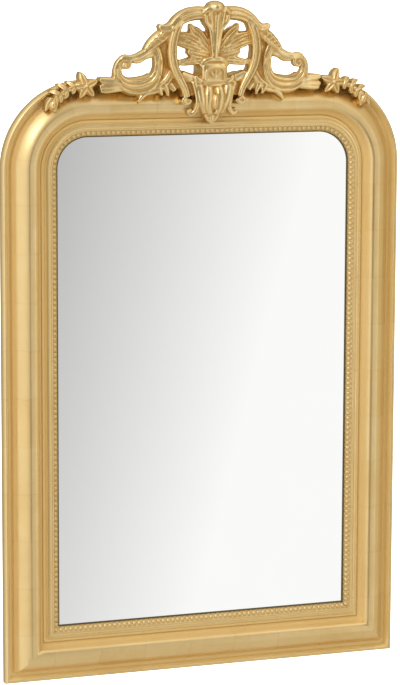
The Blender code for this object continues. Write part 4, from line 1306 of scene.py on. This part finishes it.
def mark_hollows(obj, rounds=HOLLOW_ROUNDS, full=HOLLOW_FULL):
    """Stores how far each place is sunk (towards 1) or stands out (towards 0) against its neighbourhood."""
    mesh = obj.data
    count = len(mesh.vertices)
    places = np.empty(count * 3)
    mesh.vertices.foreach_get("co", places)
    places = places.reshape(-1, 3)
    normals = np.empty(count * 3)
    mesh.vertices.foreach_get("normal", normals)
    normals = normals.reshape(-1, 3)
    ends = np.empty(len(mesh.edges) * 2, dtype=np.int64)
    mesh.edges.foreach_get("vertices", ends)
    a, b = ends[0::2], ends[1::2]
    links = np.bincount(a, minlength=count) + np.bincount(b, minlength=count)
    around = places.copy()
    for _ in range(rounds):
        total = np.stack([np.bincount(a, around[b, k], count) + np.bincount(b, around[a, k], count)
                          for k in range(3)], axis=1)
        around = 0.4 * around + 0.6 * total / np.maximum(links, 1)[:, None]
    sunk = ((around - places) * normals).sum(axis=1)
    field = mesh.attributes.new("hollow", "FLOAT", "POINT")
    field.data.foreach_set("value", np.clip(0.5 + 0.5 * sunk / full, 0.0, 1.0).astype(np.float32))
    return float(np.percentile(sunk, 5)), float(np.percentile(sunk, 95))


seat_cutter = make_seat_cutter()
print("cutter faces", len(seat_cutter.data.polygons))

# %% [markdown]
# The crest's finest grain is a little coarser than the garlands', whose leaves are thinner.

# %% Cast the crest and the garlands
CREST_GRAIN = 0.00125
SPRAY_GRAIN = 0.00085
crest = cast(build_crest(), "openwork_crest", 1, CREST_GRAIN, seat_cutter)
sprays = {side: cast(build_spray(), "flower_garland_" + word, side, SPRAY_GRAIN, seat_cutter)
          for side, word in ((-1, "left"), (1, "right"))}
for casting in (crest, *sprays.values()):
    casting.data.materials.clear()
    casting.data.materials.append(cast_gilt)
    # The hollow value places the brown toning, which also paints shade into the casting's recesses.
    low_sunk, high_sunk = mark_hollows(casting)
    print(casting.name, triangles(casting), "triangles, relief", round(low_sunk * 1000, 2), "to",
          round(high_sunk * 1000, 2), "mm")
discard(seat_cutter)
PIECES = [(moulding, "frame", "gold_leaf"), (bead_row, None, "gold_leaf"),
          (crest, "crest", "gold_leaf_crest"), (sprays[-1], "garland_left", "gold_leaf_spray"),
          (sprays[1], "garland_right", "gold_leaf_spray")]

# %% [markdown]
# The glass and the backboard keep their CAD shape. Silvered glass reflects the room in front of it. It is a
# nearly perfect metal mirror with a faint green tint, and the slightest haze of dust and wiping marks.

# %% Glass and backboard
def make_silvered_glass():
    """A mirror's metal with faint wiping marks and dust."""
    made, tree, shader = new_material("silvered_glass")
    place = add_node(tree, "ShaderNodeTexCoord")
    wipes = add_node(tree, "ShaderNodeTexNoise", "wiping marks", Scale=3.2, Detail=3.0)
    dust = add_node(tree, "ShaderNodeTexNoise", "dust", Scale=900.0, Detail=1.0)
    join(tree, (place.outputs["Object"], wipes.inputs["Vector"]),
         (place.outputs["Object"], dust.inputs["Vector"]))
    colour = mix_colour(tree, "MIX", spread(tree, wipes.outputs["Fac"], 0.35, 0.7, 0.0, 1.0),
                        (0.955, 0.962, 0.960, 1.0), (0.942, 0.950, 0.949, 1.0))
    rough = spread(tree, wipes.outputs["Fac"], 0.4, 0.7, 0.006, 0.016)
    rough = number(tree, "ADD", rough, spread(tree, dust.outputs["Fac"], 0.66, 0.76, 0.0, 0.012))
    shader.inputs["Metallic"].default_value = 1.0
    join(tree, (colour, shader.inputs["Base Color"]), (rough, shader.inputs["Roughness"]))
    return made


silvered_glass = make_silvered_glass()
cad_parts["mirror_plate"].data.materials[0] = silvered_glass
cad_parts["backboard"].data.materials[0] = hardboard

# %% [markdown]
# Gold shows mainly what stands round it, so the room is part of the picture. It is a plain pale studio: a
# broad soft light on the left, a quieter part straight ahead of the mirror, and a white wall that begins a
# little to its right and gives the glass its change from grey to white. Beyond the wall the room is dimmer
# and warmer, and the ceiling is lighter than the floor. The world's colour follows from the direction.

# %% The room round the mirror
def make_room():
    """A plain pale studio by direction: heading from the front towards the right, and height."""
    world = bpy.data.worlds.new("studio_room")
    bpy.context.scene.world = world
    world.use_nodes = True
    tree = world.node_tree
    background = tree.nodes["Background"]
    place = add_node(tree, "ShaderNodeTexCoord")
    apart = add_node(tree, "ShaderNodeSeparateXYZ")
    join(tree, (place.outputs["Generated"], apart.inputs[0]))
    front = number(tree, "MULTIPLY", apart.outputs["Y"], -1.0)
    heading = number(tree, "MULTIPLY", number(tree, "ARCTAN2", apart.outputs["X"], front), 180 / math.pi)
    height = number(tree, "MULTIPLY", number(tree, "ARCSINE", apart.outputs["Z"]), 180 / math.pi)

    def zone(value, low, high, soft):
        """One between two bounds, falling off softly outside them."""
        rise = spread(tree, value, low - soft, low, 0.0, 1.0)
        fall = spread(tree, value, high, high + soft, 1.0, 0.0)
        return number(tree, "MULTIPLY", rise, fall)

    level = add_node(tree, "ShaderNodeValue", "quiet room").outputs[0]
    level.default_value = ROOM_BASE
    total = level
    for low, high, soft, under, over, blur, strength in ROOM_LIGHTS:
        patch = number(tree, "MULTIPLY", zone(heading, low, high, soft), zone(height, under, over, blur))
        total = number(tree, "ADD", total, number(tree, "MULTIPLY", patch, strength))
    lean = number(tree, "SUBTRACT", heading, number(tree, "MULTIPLY", height, WALL_LEAN))
    wall = number(tree, "MULTIPLY", spread(tree, lean, WALL_START, WALL_FULL, 0.0, WALL_RISE),
                  zone(heading, WALL_SIDE, WALL_END, ROOM_SOFT))
    total = number(tree, "ADD", total, wall)
    seen = add_node(tree, "ShaderNodeLightPath").outputs["Is Camera Ray"]
    total = number(tree, "ADD", total, number(tree, "MULTIPLY", seen, BACKDROP_LIFT))
    left_warm = number(tree, "MULTIPLY", zone(heading, -181.0, 2.0, ROOM_SOFT), LEFT_WARMTH)
    right_warm = number(tree, "MULTIPLY", zone(heading, WALL_END + 4.0, 181.0, ROOM_SOFT),
                        RIGHT_WARMTH)
    warm = number(tree, "ADD", left_warm, right_warm)
    colour = add_node(tree, "ShaderNodeCombineColor")
    for slot, tint, held in zip(colour.inputs, ROOM_TINT, WARM_LOSS):
        level = number(tree, "SUBTRACT", number(tree, "MULTIPLY", total, tint),
                       number(tree, "MULTIPLY", warm, held))
        join(tree, (level, slot))
    join(tree, (colour.outputs[0], background.inputs["Color"]))
    background.inputs["Strength"].default_value = 1.0


ROOM_BASE = 0.43
ROOM_TINT = (1.0, 0.995, 0.985)
WARM_LOSS = (0.0, 0.10, 0.30)
WALL_START = 17.1
WALL_FULL = 23.3
WALL_RISE = 0.57
WALL_END = 36.0
WALL_SIDE = 10.0
WALL_LEAN = 0.25
ROOM_SOFT = 9.0
BACKDROP_LIFT = 2.0
LEFT_WARMTH = 0.36
RIGHT_WARMTH = 0.80
# heading low, high, softness, height low, high, softness (degrees), strength
ROOM_LIGHTS = [
    (-112, -34, 7, -50, 50, 25, 0.70),
    (-26, -12, 5, -60, 60, 20, -0.14),
    (26, 36, 2, -60, 60, 25, 0.20),
    (36, 92, 9, -60, 60, 25, 0.35),
    (-181, 181, 1, 48, 91, 22, 0.42),
    (-181, 181, 1, -91, -50, 22, 0.20),
]
make_room()
print("room zones", len(ROOM_LIGHTS))

# %% [markdown]
# One soft white lamp high on the left adds a gleam to the tops of the forms.

# %% Lamps
def soft_lamp(name, place, target, size, watts):
    """A square soft lamp that faces a target."""
    lamp = bpy.data.lights.new(name, "AREA")
    lamp.shape = "SQUARE"
    lamp.size = size
    lamp.energy = watts
    made = placed(name, lamp)
    made.location = place
    made.rotation_euler = (Vector(target) - Vector(place)).to_track_quat("-Z", "Y").to_euler()
    return made


soft_lamp("key_lamp", (-2.6, -2.2, 1.9), (0.0, 0.0, -0.3), 1.2, 25.0)
bpy.context.scene.view_settings.view_transform = "Standard"
bpy.context.scene.view_settings.look = "None"
print("lamps set")

# %% [markdown]
# A pale floor lies well below the mirror and lights its lower edges.

# %% Floor
FLOOR_HEIGHT = -1.50
floor_mesh = bpy.data.meshes.new("studio_floor")
floor_corners = [(x, y, FLOOR_HEIGHT) for x, y in ((-1.6, -1.9), (1.6, -1.9), (1.6, 1.3), (-1.6, 1.3))]
floor_mesh.from_pydata(floor_corners, [], [(0, 1, 2, 3)])
floor = placed("studio_floor", floor_mesh)
floor_finish, floor_tree, floor_shader = new_material("pale_floor")
floor_shader.inputs["Base Color"].default_value = (0.80, 0.80, 0.79, 1.0)
floor_shader.inputs["Roughness"].default_value = 0.7
floor_mesh.materials.append(floor_finish)
print("floor at", FLOOR_HEIGHT)

# %% [markdown]
# Last, every piece is hung on the root body, and the CAD part that it takes the place of is hidden.

# %% Hand over to the frame
for piece, node, slot in PIECES:
    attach(piece, "root")
    if node:
        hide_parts(node)
